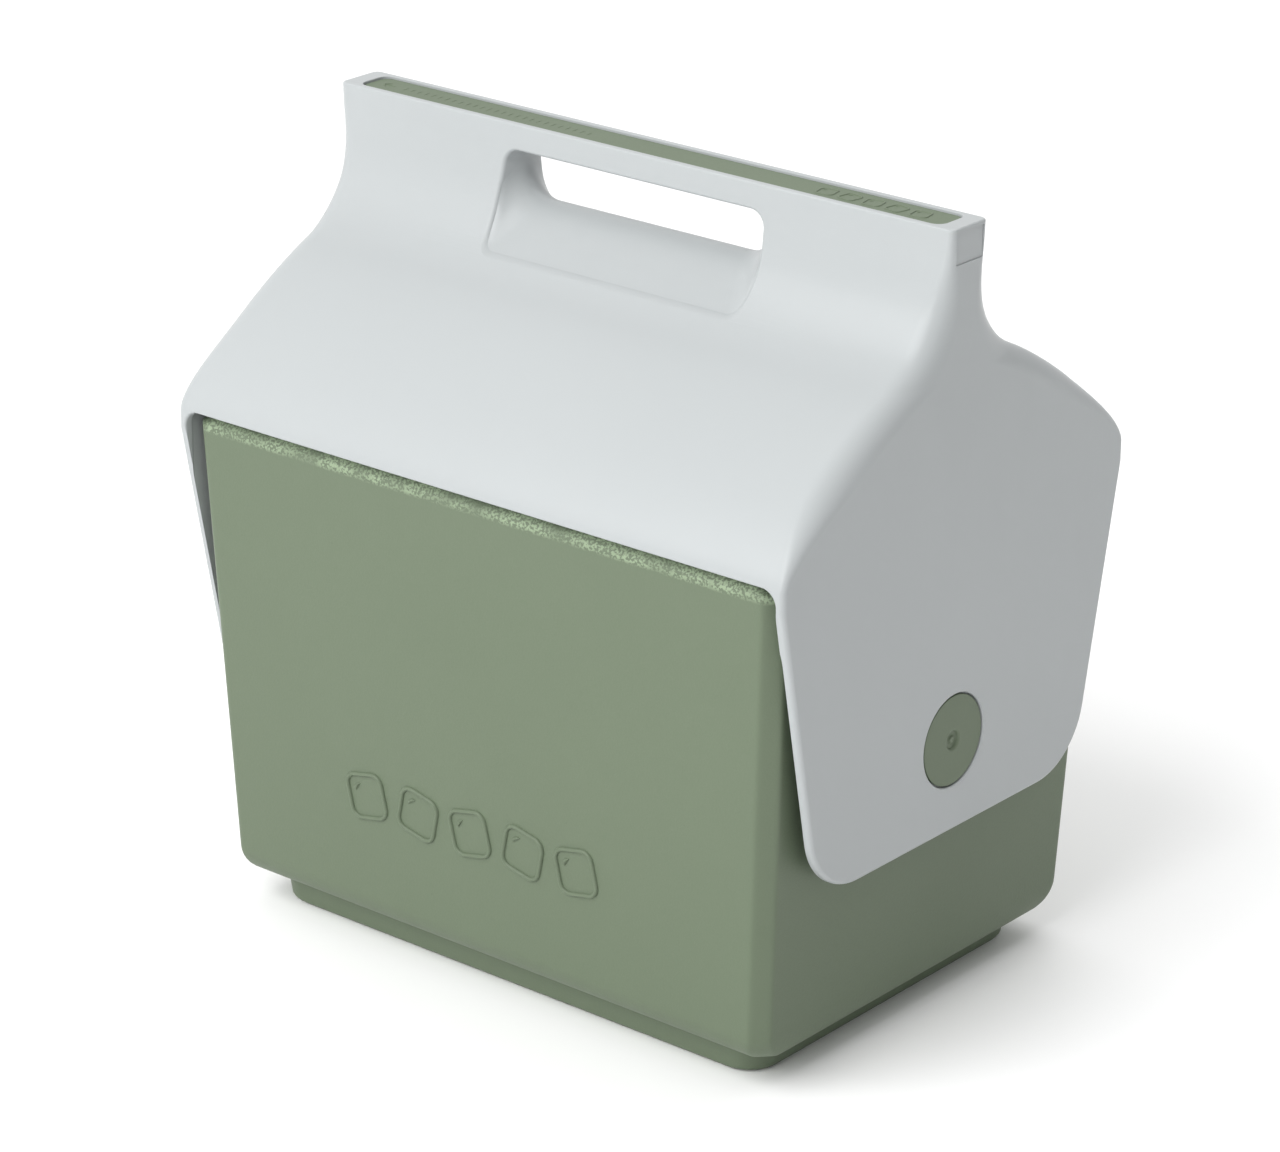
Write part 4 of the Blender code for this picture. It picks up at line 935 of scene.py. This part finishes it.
# ---------------------------------------------------------------- box
def body_half(z):
    share = (z - BODY_BOTTOM_Z) / (BODY_TOP_Z - BODY_BOTTOM_Z)
    return tuple(top - taper * (1 - share) for top, taper in zip(BODY_TOP_HALF, BODY_TAPER))


def shell_section(inset):
    """Rings along the box's wall, from its bottom opening up to its inturned top flange."""
    leg = BODY_CORNER - inset * (2 - sqrt(2))
    edge_x, edge_y = BODY_TOP_EDGE
    sections = [(BODY_OPENING_INSET, BODY_OPENING_INSET, BODY_BOTTOM_Z + inset)]
    radius_x, radius_y = [radius - inset for radius in BODY_FOOT_RADIUS]
    for i in range(ARC_STEPS + 1):
        a = pi / 2 * i / ARC_STEPS
        spare_x, spare_y = inset + radius_x * (1 - sin(a)), inset + radius_y * (1 - sin(a))
        sections.append((spare_x, spare_y, BODY_BOTTOM_Z + inset + radius_y * (1 - cos(a))))
    slant = inset * (sqrt(2) - 1)
    for u, v in reversed(CHAMFERED):
        spare_x, spare_y = inset + (edge_x - slant) * (1 - u), inset + (edge_y - slant) * (1 - u)
        sections.append((spare_x, spare_y, BODY_TOP_Z - inset - (edge_y - slant) * (1 - v)))
    sections.append((edge_x + 3.5 * MM, edge_y + 3.5 * MM, BODY_TOP_Z - inset))
    rings = []
    for spare_x, spare_y, z in sections:
        half_x, half_y = body_half(z)
        rings.append(ring(half_x - spare_x, half_y - spare_y, z, leg, corner=CHAMFERED))
    return rings


def latch_notch(name, outer_y, mouth_z):
    reach = hypot(HOOK_ARM_Y[0] - MM, HOOK_BOTTOM_Z - PIVOT_Z) - GAP
    low_z, high_z = HOOK_BOTTOM_Z - MM, RIM_TOP_Z + 5 * MM
    far_y = HALF_DEPTH + PAST
    low, high = [asin((z - PIVOT_Z) / reach) * 180 / pi for z in (low_z, high_z)]
    outline = [(outer_y, low_z), (outer_y, mouth_z), (far_y, mouth_z), (far_y, high_z)]
    outline += arc((0, PIVOT_Z), reach, high, low)
    half_width = HOOK_HALF_WIDTH + HOOK_ROOM
    return drawn_out(name, outline, [(-half_width, 0.0), (half_width, 0.0)], "X")


class COOLER_OT_box(bpy.types.Operator):
    """Mould the outside of the box"""

    bl_idname = "cooler.box"
    bl_label = "Box"

    def execute(self, context):
        shell = skin("box_moulding", shell_section(0) + shell_section(BODY_WALL)[::-1], tube=True)
        inner_x = body_half(PIVOT_Z)[0] - BODY_WALL
        strike_top = STRIKE_HIGH.z
        steps = [
            ("UNION", rod("add_boss", BODY_BOSS_RADIUS, inner_x, BODY_BOSS_FACE_X)),
            ("UNION", rod("add_boss", BODY_BOSS_RADIUS, -BODY_BOSS_FACE_X, -inner_x)),
        ]
        seat = block(
            "cut_seat",
            (STRIKE_LOW.x - GAP, HOOK_ARM_Y[0] - HOOK_ROOM, STRIKE_LOW.z - GAP),
            (STRIKE_HIGH.x + GAP, STRIKE_HIGH.y + GAP, strike_top + GAP),
        )
        notch = latch_notch("cut_notch", STRIKE_HIGH.y, strike_top + 2 * GAP)
        steps += [("DIFFERENCE", seat), ("DIFFERENCE", notch)]
        steps.append(("DIFFERENCE", rod("cut_bore", BUSHING_HOLE_RADIUS, -HALF_WIDTH, HALF_WIDTH)))
        middle = (SCREW_LOW + SCREW_HIGH) / 2
        hole = [(0, 4 * MM), (1.4 * MM, 4 * MM), (1.4 * MM, 0), (0, 0)]
        for side in (-1, 1):
            start = (side * middle.x, SCREW_HIGH.y + GAP, middle.z)
            place = Matrix.Translation(start) @ Matrix.Rotation(pi / 2, 4, "X")
            steps.append(("DIFFERENCE", spun("cut_screw_hole", hole, place, 24)))
        carve(shell, *steps)
        polish(shell, pebbled_green(band=2.2), 30)
        settle(shell, "body", "body_green", "outer_shell")
        return {"FINISHED"}


class COOLER_OT_pan(bpy.types.Operator):
    """Mould the base pan with its collar"""

    bl_idname = "cooler.pan"
    bl_label = "Base pan"

    def execute(self, context):
        half_x, half_y = PAN_HIGH.x, PAN_HIGH.y
        rings = []
        for i in range(ARC_STEPS + 1):
            a = pi / 2 * i / ARC_STEPS
            inset = PAN_FOOT_RADIUS * (1 - sin(a)) + MM
            rings.append(ring(half_x - inset, half_y - inset, PAN_FOOT_RADIUS * (1 - cos(a)), PAN_CORNER))
        shelf_z = BODY_BOTTOM_Z - GAP
        rings.append(ring(half_x, half_y, shelf_z, PAN_CORNER))
        bottom_half = body_half(BODY_BOTTOM_Z)
        collar = [half - BODY_OPENING_INSET - 2 * GAP for half in bottom_half]
        for z in (shelf_z, PAN_HIGH.z):
            rings.append(ring(*collar, z, BODY_CORNER))
        inner = []
        wall = PAN_WALL
        for i in range(ARC_STEPS + 1):
            a = pi / 2 * i / ARC_STEPS
            inset = MM * (1 - sin(a)) + MM + wall
            inner.append(ring(half_x - inset, half_y - inset, wall + MM * (1 - cos(a)), PAN_CORNER - wall))
        inner.append(ring(half_x - wall, half_y - wall, shelf_z - wall, PAN_CORNER - wall))
        for z in (shelf_z - wall, PAN_HIGH.z):
            inner.append(ring(collar[0] - wall, collar[1] - wall, z, BODY_CORNER - MM))
        pan = skin("base_pan_moulding", rings + inner[::-1])
        polish(pan, pebbled_green())
        settle(pan, "body", "body_green", "base_pan")
        return {"FINISHED"}


class COOLER_OT_tub(bpy.types.Operator):
    """Mould the white tub and give the lid's ceiling its finish"""

    bl_idname = "cooler.tub"
    bl_label = "Tub and ceiling"

    def execute(self, context):
        def inside(z):
            narrowing = TUB_NARROWING * (RIM_TOP_Z - z) / (RIM_TOP_Z - LINER_FLOOR_Z)
            return BODY_TOP_HALF[0] - 16.8 * MM - narrowing, BODY_TOP_HALF[1] - 17.5 * MM - narrowing

        def wall(offset):
            rings = []
            radius = TUB_FLOOR_RADIUS + offset
            for i in range(ARC_STEPS + 1):
                a = pi / 2 * i / ARC_STEPS
                z = LINER_FLOOR_Z - offset + radius * (1 - cos(a))
                half_x, half_y = inside(z)
                spare = radius * (1 - sin(a)) - offset
                rings.append(ring(half_x - spare, half_y - spare, z, TUB_CORNER))
            round_over = 2 * MM
            for i in range(7):
                a = pi / 2 * i / 6
                half_x, half_y = inside(RIM_TOP_Z - round_over)
                out = (round_over - offset) * (1 - cos(a)) + offset
                z = RIM_TOP_Z - round_over + (round_over - offset) * sin(a)
                rings.append(ring(half_x + out, half_y + out, z, TUB_CORNER))
            return rings

        rim = [
            ring(LINER_HIGH.x - inset, LINER_HIGH.y - inset, RIM_TOP_Z - drop, BODY_CORNER)
            for inset, drop in ((0.5 * MM, 0.0), (0.0, 0.5 * MM), (0.0, LINER_WALL))
        ]
        tub = skin("tub_moulding", wall(0.0) + rim + wall(LINER_WALL)[::-1])
        carve(tub, ("DIFFERENCE", latch_notch("cut_rim_notch", HALF_DEPTH, STRIKE_HIGH.z)))
        polish(tub, tub_white())
        settle(tub, "body", "liner_white", "inner_liner")
        frame["nodes"]["lid_liner"].material_slots[0].material = tub_white()
        return {"FINISHED"}


# ---------------------------------------------------------------- pivots and latch
class COOLER_OT_pivots(bpy.types.Operator):
    """Turn the two pivot plugs with their centre eyes"""

    bl_idname = "cooler.pivots"
    bl_label = "Pivot plugs"

    def execute(self, context):
        face, end = PLUG_HIGH.x, PLUG_LOW.x
        radius = (PLUG_HIGH.z - PLUG_LOW.z) / 2
        shank, groove = 9.2 * MM, 7.6 * MM
        back = COUNTERBORE_FLOOR_X + GAP
        groove_out = FLAP_BOSS_FACE_X - GAP - 11 * MM - GAP / 2
        groove_in = groove_out - 1.3 * MM
        eye = [(0, face - 0.4 * MM), (1.1 * MM, face - 0.4 * MM), (1.5 * MM, face - 1.1 * MM)]
        eye += [(3.2 * MM, face - 1.1 * MM), (3.5 * MM, face - 0.3 * MM), (4.2 * MM, face)]
        outside = [(radius, face), (radius, back), (12 * MM, back), (12 * MM, FLAP_BOSS_FACE_X)]
        outside += [(shank, FLAP_BOSS_FACE_X), (shank, groove_out), (groove, groove_out)]
        outside += [(groove, groove_in), (shank, groove_in), (shank, end), (0, end)]
        profile = eased(eye + outside, 0.35 * MM)
        for side, word in ((1, "right"), (-1, "left")):
            place = Matrix.Translation((0, 0, PIVOT_Z)) @ Matrix.Rotation(side * pi / 2, 4, "Y")
            plug = spun(f"pivot_plug_cap_{word}", profile, place)
            polish(plug, pebbled_green("plug_green", 0.010))
            settle(plug, "body", "body_green", f"pivot_plug_{word}")
        return {"FINISHED"}


class COOLER_OT_latch(bpy.types.Operator):
    """Mould the push button with its hook"""

    bl_idname = "cooler.latch"
    bl_label = "Latch button"

    def execute(self, context):
        proud = 0.4 * MM
        soft = 0.9 * MM
        sections = [(2.4 * MM, 0.0)]
        for i in range(6):
            a = pi / 2 * i / 5
            sections.append((soft * (1 - sin(a)) - proud, -soft * (1 - cos(a))))
        outline = button_outline()
        face = hugging(outline, sections)
        last = spread_out(outline, -soft)
        middle_z = (BUTTON_FOOT_Z + BUTTON_TOP_Z) / 2
        for share in (0.8, 0.6, 0.4, 0.2, 0.05):
            points = [(u * share, middle_z + (v - middle_z) * share) for u, v in last]
            face.append([(u, half_depth_at(v) + proud - 0.15 * MM * (1 - share), v) for u, v in points])
        button = skin("latch_button_moulding", face)
        inner, outer = HOOK_ARM_Y
        nose_y, nose_z = outer + HOOK_NOSE_REACH, HOOK_BOTTOM_Z + HOOK_NOSE_HEIGHT
        root_y = half_depth_at(BUTTON_FOOT_Z + 4 * MM) - MM
        root_low, root_high = BUTTON_FOOT_Z + 2.5 * MM, BUTTON_FOOT_Z + 4.5 * MM
        hook = [
            (inner, HOOK_BOTTOM_Z),
            (nose_y, HOOK_BOTTOM_Z),
            (nose_y, nose_z - HOOK_NOSE_REACH),
            (outer, nose_z),
            (outer, root_low),
            (root_y, root_low),
            (root_y, root_high),
            (inner, root_high),
        ]
        arm = drawn_out("add_hook", hook, [(-HOOK_HALF_WIDTH, 0.0), (HOOK_HALF_WIDTH, 0.0)], "X")
        carve(button, ("UNION", arm))
        polish(button, pebbled_green("button_green", 0.020), 40)
        settle(button, "button", "body_green", "latch_button")
        return {"FINISHED"}


# ---------------------------------------------------------------- repeated shapes
def row_tree():
    """Copies of the incoming shape in a row: every second one leans the other way, with a seeded wobble."""
    tree = bpy.data.node_groups.get("cooler_row")
    if tree:
        return tree
    tree = bpy.data.node_groups.new("cooler_row", "GeometryNodeTree")
    face = tree.interface
    face.new_socket("Shape", in_out="INPUT", socket_type="NodeSocketGeometry")
    for name, kind, value in (
        ("Count", "NodeSocketInt", 5),
        ("Spacing", "NodeSocketFloat", 0.02),
        ("Lean", "NodeSocketFloat", 0.0),
        ("Wobble", "NodeSocketFloat", 0.0),
        ("Seed", "NodeSocketInt", 3),
    ):
        face.new_socket(name, in_out="INPUT", socket_type=kind).default_value = value
    face.new_socket("Material", in_out="INPUT", socket_type="NodeSocketMaterial")
    face.new_socket("Shape", in_out="OUTPUT", socket_type="NodeSocketGeometry")
    bench = Bench(tree)
    entry = tree.nodes.new("NodeGroupInput")
    given = {socket.name: Wire(bench, socket) for socket in entry.outputs if socket.name}
    start = (given["Count"] - 1) * given["Spacing"] * -0.5
    origin = bench.node("ShaderNodeCombineXYZ", None, {0: start})
    stride = bench.node("ShaderNodeCombineXYZ", None, {0: given["Spacing"]})
    line = bench.node(
        "GeometryNodeMeshLine",
        {"mode": "OFFSET"},
        {"Count": given["Count"], "Start Location": origin, "Offset": stride},
    )
    index = bench.node("GeometryNodeInputIndex")
    flip = 1 - 2 * bench.node("ShaderNodeMath", {"operation": "MODULO"}, {0: index, 1: 2.0})
    limits = {2: -1.0, 3: 1.0, "ID": index, "Seed": given["Seed"]}
    wobble = bench.node("FunctionNodeRandomValue", {"data_type": "FLOAT"}, limits, output=1)
    turn = bench.node("ShaderNodeCombineXYZ", None, {2: flip * given["Lean"] + wobble * given["Wobble"]})
    copies = bench.node(
        "GeometryNodeInstanceOnPoints", None, {"Points": line, "Instance": given["Shape"], "Rotation": turn}
    )
    real = bench.node("GeometryNodeRealizeInstances", None, {0: copies})
    dressed = bench.node("GeometryNodeSetMaterial", None, {"Geometry": real, "Material": given["Material"]})
    leave = tree.nodes.new("NodeGroupOutput")
    tree.links.new(dressed.socket, leave.inputs[0])
    return tree


def in_a_row(obj, material, place, **values):
    """Repeat an object's mesh with the row tree and set the result in place, in the mesh itself."""
    tree = row_tree()
    identifiers = {
        item.name: item.identifier for item in tree.interface.items_tree if item.in_out == "INPUT"
    }
    modifier = obj.modifiers.new("Row", "NODES")
    modifier.node_group = tree
    for name, value in {"Material": material, **values}.items():
        modifier[identifiers[name]] = value
    baked(obj)
    obj.data.transform(place)
    obj.data.shade_smooth()
    return obj


def ridge(outline, width, height, closed=True, steps=6):
    """A half-round ridge that follows a flat line, as a bmesh lying on z = 0 with a skirt below it."""
    bm = bmesh.new()
    rows = []
    count = len(outline)
    for i, (u, v) in enumerate(outline):
        before = outline[i - 1] if closed or i else outline[i]
        after = outline[(i + 1) % count] if closed or i < count - 1 else outline[i]
        du, dv = after[0] - before[0], after[1] - before[1]
        length = hypot(du, dv)
        nu, nv = dv / length, -du / length
        fade = 1.0 if closed else min(1.0, 0.15 + min(i, count - 1 - i) / 3)
        row = [(-1.0, -0.35), (-1.0, 0.0)]
        row += [(-cos(pi * k / steps), sin(pi * k / steps)) for k in range(1, steps)]
        row += [(1.0, 0.0), (1.0, -0.35)]
        reach = width / 2 * fade
        points = [(u + nu * w * reach, v + nv * w * reach, h * height * fade) for w, h in row]
        rows.append([bm.verts.new(point) for point in points])
    pairs = list(zip(rows, rows[1:])) + ([(rows[-1], rows[0])] if closed else [])
    for here, there in pairs:
        for k in range(len(here)):
            bm.faces.new((here[k], here[(k + 1) % len(here)], there[(k + 1) % len(there)], there[k]))
    if not closed:
        bm.faces.new(rows[0])
        bm.faces.new(rows[-1][::-1])
    return bm


def gathered(name, forms):
    """Several bmeshes as one mesh object."""
    whole = bmesh.new()
    for bm in forms:
        bmesh.ops.recalc_face_normals(bm, faces=bm.faces)
        mesh = bpy.data.meshes.new("part")
        bm.to_mesh(mesh)
        bm.free()
        whole.from_mesh(mesh)
        bpy.data.meshes.remove(mesh)
    return put(name, whole, recalc=False)


def ice_cube(name, size, width, height):
    """A rounded square outline with a short glint inside one corner."""
    half = size / 2
    square = rounded_rectangle(half, -half, half, size * 0.24, size * 0.24, steps=8, span=size * 0.2)
    glint = arc((-half * 0.22, half * 0.22), half * 0.36, 175, 95, 8)
    shine = ridge(glint, width * 0.75, height * 0.8, closed=False)
    return gathered(name, [ridge(square, width, height), shine])


class COOLER_OT_marks(bpy.types.Operator):
    """Raise plain marks: a row of ice cubes on the front, and ticks, an arrow and small cubes on the strip"""

    bl_idname = "cooler.marks"
    bl_label = "Raised marks"

    def execute(self, context):
        sizes = context.scene.cooler_sizes
        middle_z = 64 * MM
        slope = atan2(BODY_TAPER[1], BODY_TOP_Z - BODY_BOTTOM_Z)
        front = Matrix.Translation((-5 * MM, -body_half(middle_z)[1], middle_z))
        front = front @ Matrix.Rotation(pi / 2 + slope, 4, "X")
        cubes = ice_cube("front_ice_cubes", sizes.cube_size, sizes.ridge_width, sizes.ridge_height)
        in_a_row(
            cubes,
            pebbled_green(),
            front,
            Count=sizes.cube_count,
            Spacing=sizes.cube_pitch,
            Lean=radians(11),
            Wobble=radians(2),
            Seed=4,
        )
        settle(cubes, "body", "body_green")
        top = STRIP_HIGH.z
        strip_green = pebbled_green("strip_green")
        small, fine = 0.55 * MM, 0.3 * MM
        minis = ice_cube("strip_ice_cubes", 6.6 * MM, 0.8 * MM, fine)
        place = Matrix.Translation((99 * MM, 0, top))
        in_a_row(minis, strip_green, place, Count=5, Spacing=10 * MM, Lean=radians(11))
        settle(minis, "lid", "body_green")
        line = [(0, -1.7 * MM), (0, 0), (0, 1.7 * MM)]
        tick = gathered("strip_ticks", [ridge(line, small, fine, closed=False)])
        in_a_row(tick, strip_green, Matrix.Translation((-72 * MM, 0, top)), Count=27, Spacing=3.4 * MM)
        settle(tick, "lid", "body_green")
        arrow = [(-127, 0), (-121, 0)], [(-124.6, 2.2), (-127, 0), (-124.6, -2.2)]
        lines = []
        for points in arrow:
            scaled = [Vector(p) * MM for p in points]
            dense = [tuple(a.lerp(b, i / 6)) for a, b in zip(scaled, scaled[1:]) for i in range(6)]
            lines.append(ridge(dense + [tuple(scaled[-1])], small, fine, closed=False))
        pointer = gathered("strip_arrow", lines)
        pointer.data.transform(Matrix.Translation((0, 0, top)))
        pointer.data.shade_smooth()
        pointer.data.materials.append(strip_green)
        settle(pointer, "lid", "body_green")
        return {"FINISHED"}


class COOLER_OT_screws(bpy.types.Operator):
    """Set the two cross-slot screws of the strike plate"""

    bl_idname = "cooler.screws"
    bl_label = "Strike screws"

    def execute(self, context):
        head = (SCREW_HIGH.z - SCREW_LOW.z) / 2
        length = SCREW_HIGH.y - SCREW_LOW.y
        shank = head / 2
        profile = [(0, length), (head * 0.55, length - 0.05 * MM), (head * 0.9, length - 0.35 * MM)]
        profile += [(head, length - 0.8 * MM), (head, length - MM), (shank, length - MM)]
        for turn in range(5):
            z = length - (1.2 + turn * 0.4) * MM
            profile += [(shank, z), (shank * 0.8, z - 0.2 * MM)]
        profile += [(0, 0)]
        screw = spun("strike_screws_cross", profile, sides=32)
        arms = [
            block("cut_arm", (-half_x, -half_y, length - 0.6 * MM), (half_x, half_y, length + MM))
            for half_x, half_y in ((1.2 * MM, 0.25 * MM), (0.25 * MM, 1.2 * MM))
        ]
        carve(screw, *[("DIFFERENCE", arm) for arm in arms])
        middle = (SCREW_LOW + SCREW_HIGH) / 2
        place = Matrix.Translation((0, SCREW_HIGH.y, middle.z)) @ Matrix.Rotation(pi / 2, 4, "X")
        in_a_row(screw, spring_steel(), place, Count=2, Spacing=2 * middle.x, Wobble=radians(40), Seed=7)
        screw.data.set_sharp_from_angle(angle=radians(30))
        settle(screw, "body", "spring_steel", "strike_screw_left", "strike_screw_right")
        return {"FINISHED"}


class COOLER_OT_finishes(bpy.types.Operator):
    """Give the pieces that keep their frame shape their finishes"""

    bl_idname = "cooler.finishes"
    bl_label = "Inner finishes"

    def execute(self, context):
        kept = {
            "body_foam": poured_foam,
            "lid_foam_front": poured_foam,
            "lid_foam_rear": poured_foam,
            "pivot_bushing_left": turned_nylon,
            "pivot_bushing_right": turned_nylon,
            "pivot_clip_left": spring_steel,
            "pivot_clip_right": spring_steel,
            "latch_spring": spring_steel,
            "latch_strike": spring_steel,
        }
        for name, make in kept.items():
            frame["nodes"][name].material_slots[0].material = make()
        return {"FINISHED"}


# ---------------------------------------------------------------- stage
def soft_light(name, azimuth, elevation, distance, size, power, target=(0, 0, 0.14)):
    data = bpy.data.lights.new(name, "AREA")
    data.shape = "RECTANGLE"
    data.size, data.size_y = size
    data.energy = power
    light = bpy.data.objects.new(name, data)
    a, e = radians(azimuth), radians(elevation)
    back = Vector((sin(a) * cos(e), -cos(a) * cos(e), sin(e)))
    light.location = Vector(target) + back * distance
    light.rotation_euler = (-back).to_track_quat("-Z", "Y").to_euler()
    bpy.context.scene.collection.objects.link(light)
    return light


class COOLER_OT_stage(bpy.types.Operator):
    """Lay the pale floor and set the soft lights and the camera"""

    bl_idname = "cooler.stage"
    bl_label = "Stage"

    def execute(self, context):
        scene = context.scene
        stage = scene.cooler_stage
        bm = bmesh.new()
        bmesh.ops.create_grid(bm, x_segments=1, y_segments=1, size=12)
        floor = put("floor", bm, recalc=False)
        look = Finish("pale_floor", (0.94, 0.94, 0.94), 0.9, specular=0.0)
        floor.data.materials.append(look.done(look.shade(look.noise(3.0), 0.01)))
        world = bpy.data.worlds.new("white_surroundings")
        world.use_nodes = True
        bench = Bench(world.node_tree)
        around = bench.node("ShaderNodeTexCoord", output="Generated")
        east = bench.node("ShaderNodeSeparateXYZ", None, {0: around}, output="X")
        north = bench.node("ShaderNodeSeparateXYZ", None, {0: around}, output="Y")
        backdrop = world.node_tree.nodes["Background"]
        backdrop.inputs["Color"].default_value = (1.0, 1.0, 1.0, 1.0)
        strength = (1 - east * 0.46 - north * 0.10) * stage.sky
        world.node_tree.links.new(strength.socket, backdrop.inputs["Strength"])
        scene.world = world
        scene.view_settings.view_transform = "Standard"
        soft_light("key", -10, 42, 2.8, (2.6, 2.0), stage.key_power)
        soft_light("front", 4, 16, 2.2, (0.22, 0.55), stage.front_power)
        soft_light("rim", 155, 30, 2.4, (0.5, 0.35), stage.rim_power)
        soft_light("top", 185, 66, 2.6, (2.0, 1.6), stage.top_power)
        camera = bpy.data.objects.new("camera", bpy.data.cameras.new("camera"))
        scene.collection.objects.link(camera)
        camera.data.lens = stage.lens
        camera.data.clip_start, camera.data.clip_end = 0.05, 60
        a, e = stage.azimuth, stage.elevation
        back = Vector((sin(a) * cos(e), -cos(a) * cos(e), sin(e)))
        right = Vector((cos(a), sin(a), 0))
        up = back.cross(right)
        target = Vector((0, 0, 0.145))
        camera.location = target + back * stage.distance
        aim = target - right * 2.37 * MM - up * 7.74 * MM
        view = (aim - camera.location).to_track_quat("-Z", "Y").to_matrix()
        camera.rotation_euler = (view @ Matrix.Rotation(stage.roll, 3, "Z")).to_euler()
        scene.camera = camera
        return {"FINISHED"}


class COOLER_PT_panel(bpy.types.Panel):
    bl_idname = "COOLER_PT_panel"
    bl_label = "Tent-Top Cooler"
    bl_space_type = "VIEW_3D"
    bl_region_type = "UI"
    bl_category = "Cooler"

    def draw(self, context):
        for group in (context.scene.cooler_sizes, context.scene.cooler_colours, context.scene.cooler_stage):
            column = self.layout.column(align=True)
            for name in group.__annotations__:
                column.prop(group, name)
        for operator in OPERATORS:
            self.layout.operator(operator.bl_idname)


GROUPS = {"cooler_sizes": CoolerSizes, "cooler_colours": CoolerColours, "cooler_stage": CoolerStage}
OPERATORS = (
    COOLER_OT_lid,
    COOLER_OT_strip,
    COOLER_OT_box,
    COOLER_OT_pan,
    COOLER_OT_tub,
    COOLER_OT_pivots,
    COOLER_OT_latch,
    COOLER_OT_marks,
    COOLER_OT_screws,
    COOLER_OT_finishes,
    COOLER_OT_stage,
)


def register():
    for item in (*GROUPS.values(), *OPERATORS, COOLER_PT_panel):
        bpy.utils.register_class(item)
    for name, group in GROUPS.items():
        setattr(bpy.types.Scene, name, PointerProperty(type=group))


def unregister():
    for name in GROUPS:
        delattr(bpy.types.Scene, name)
    for item in reversed((*GROUPS.values(), *OPERATORS, COOLER_PT_panel)):
        bpy.utils.unregister_class(item)


def main():
    register()
    for operator in OPERATORS:
        family, name = operator.bl_idname.split(".")
        getattr(getattr(bpy.ops, family), name)()


if __name__ == "__main__":
    main()
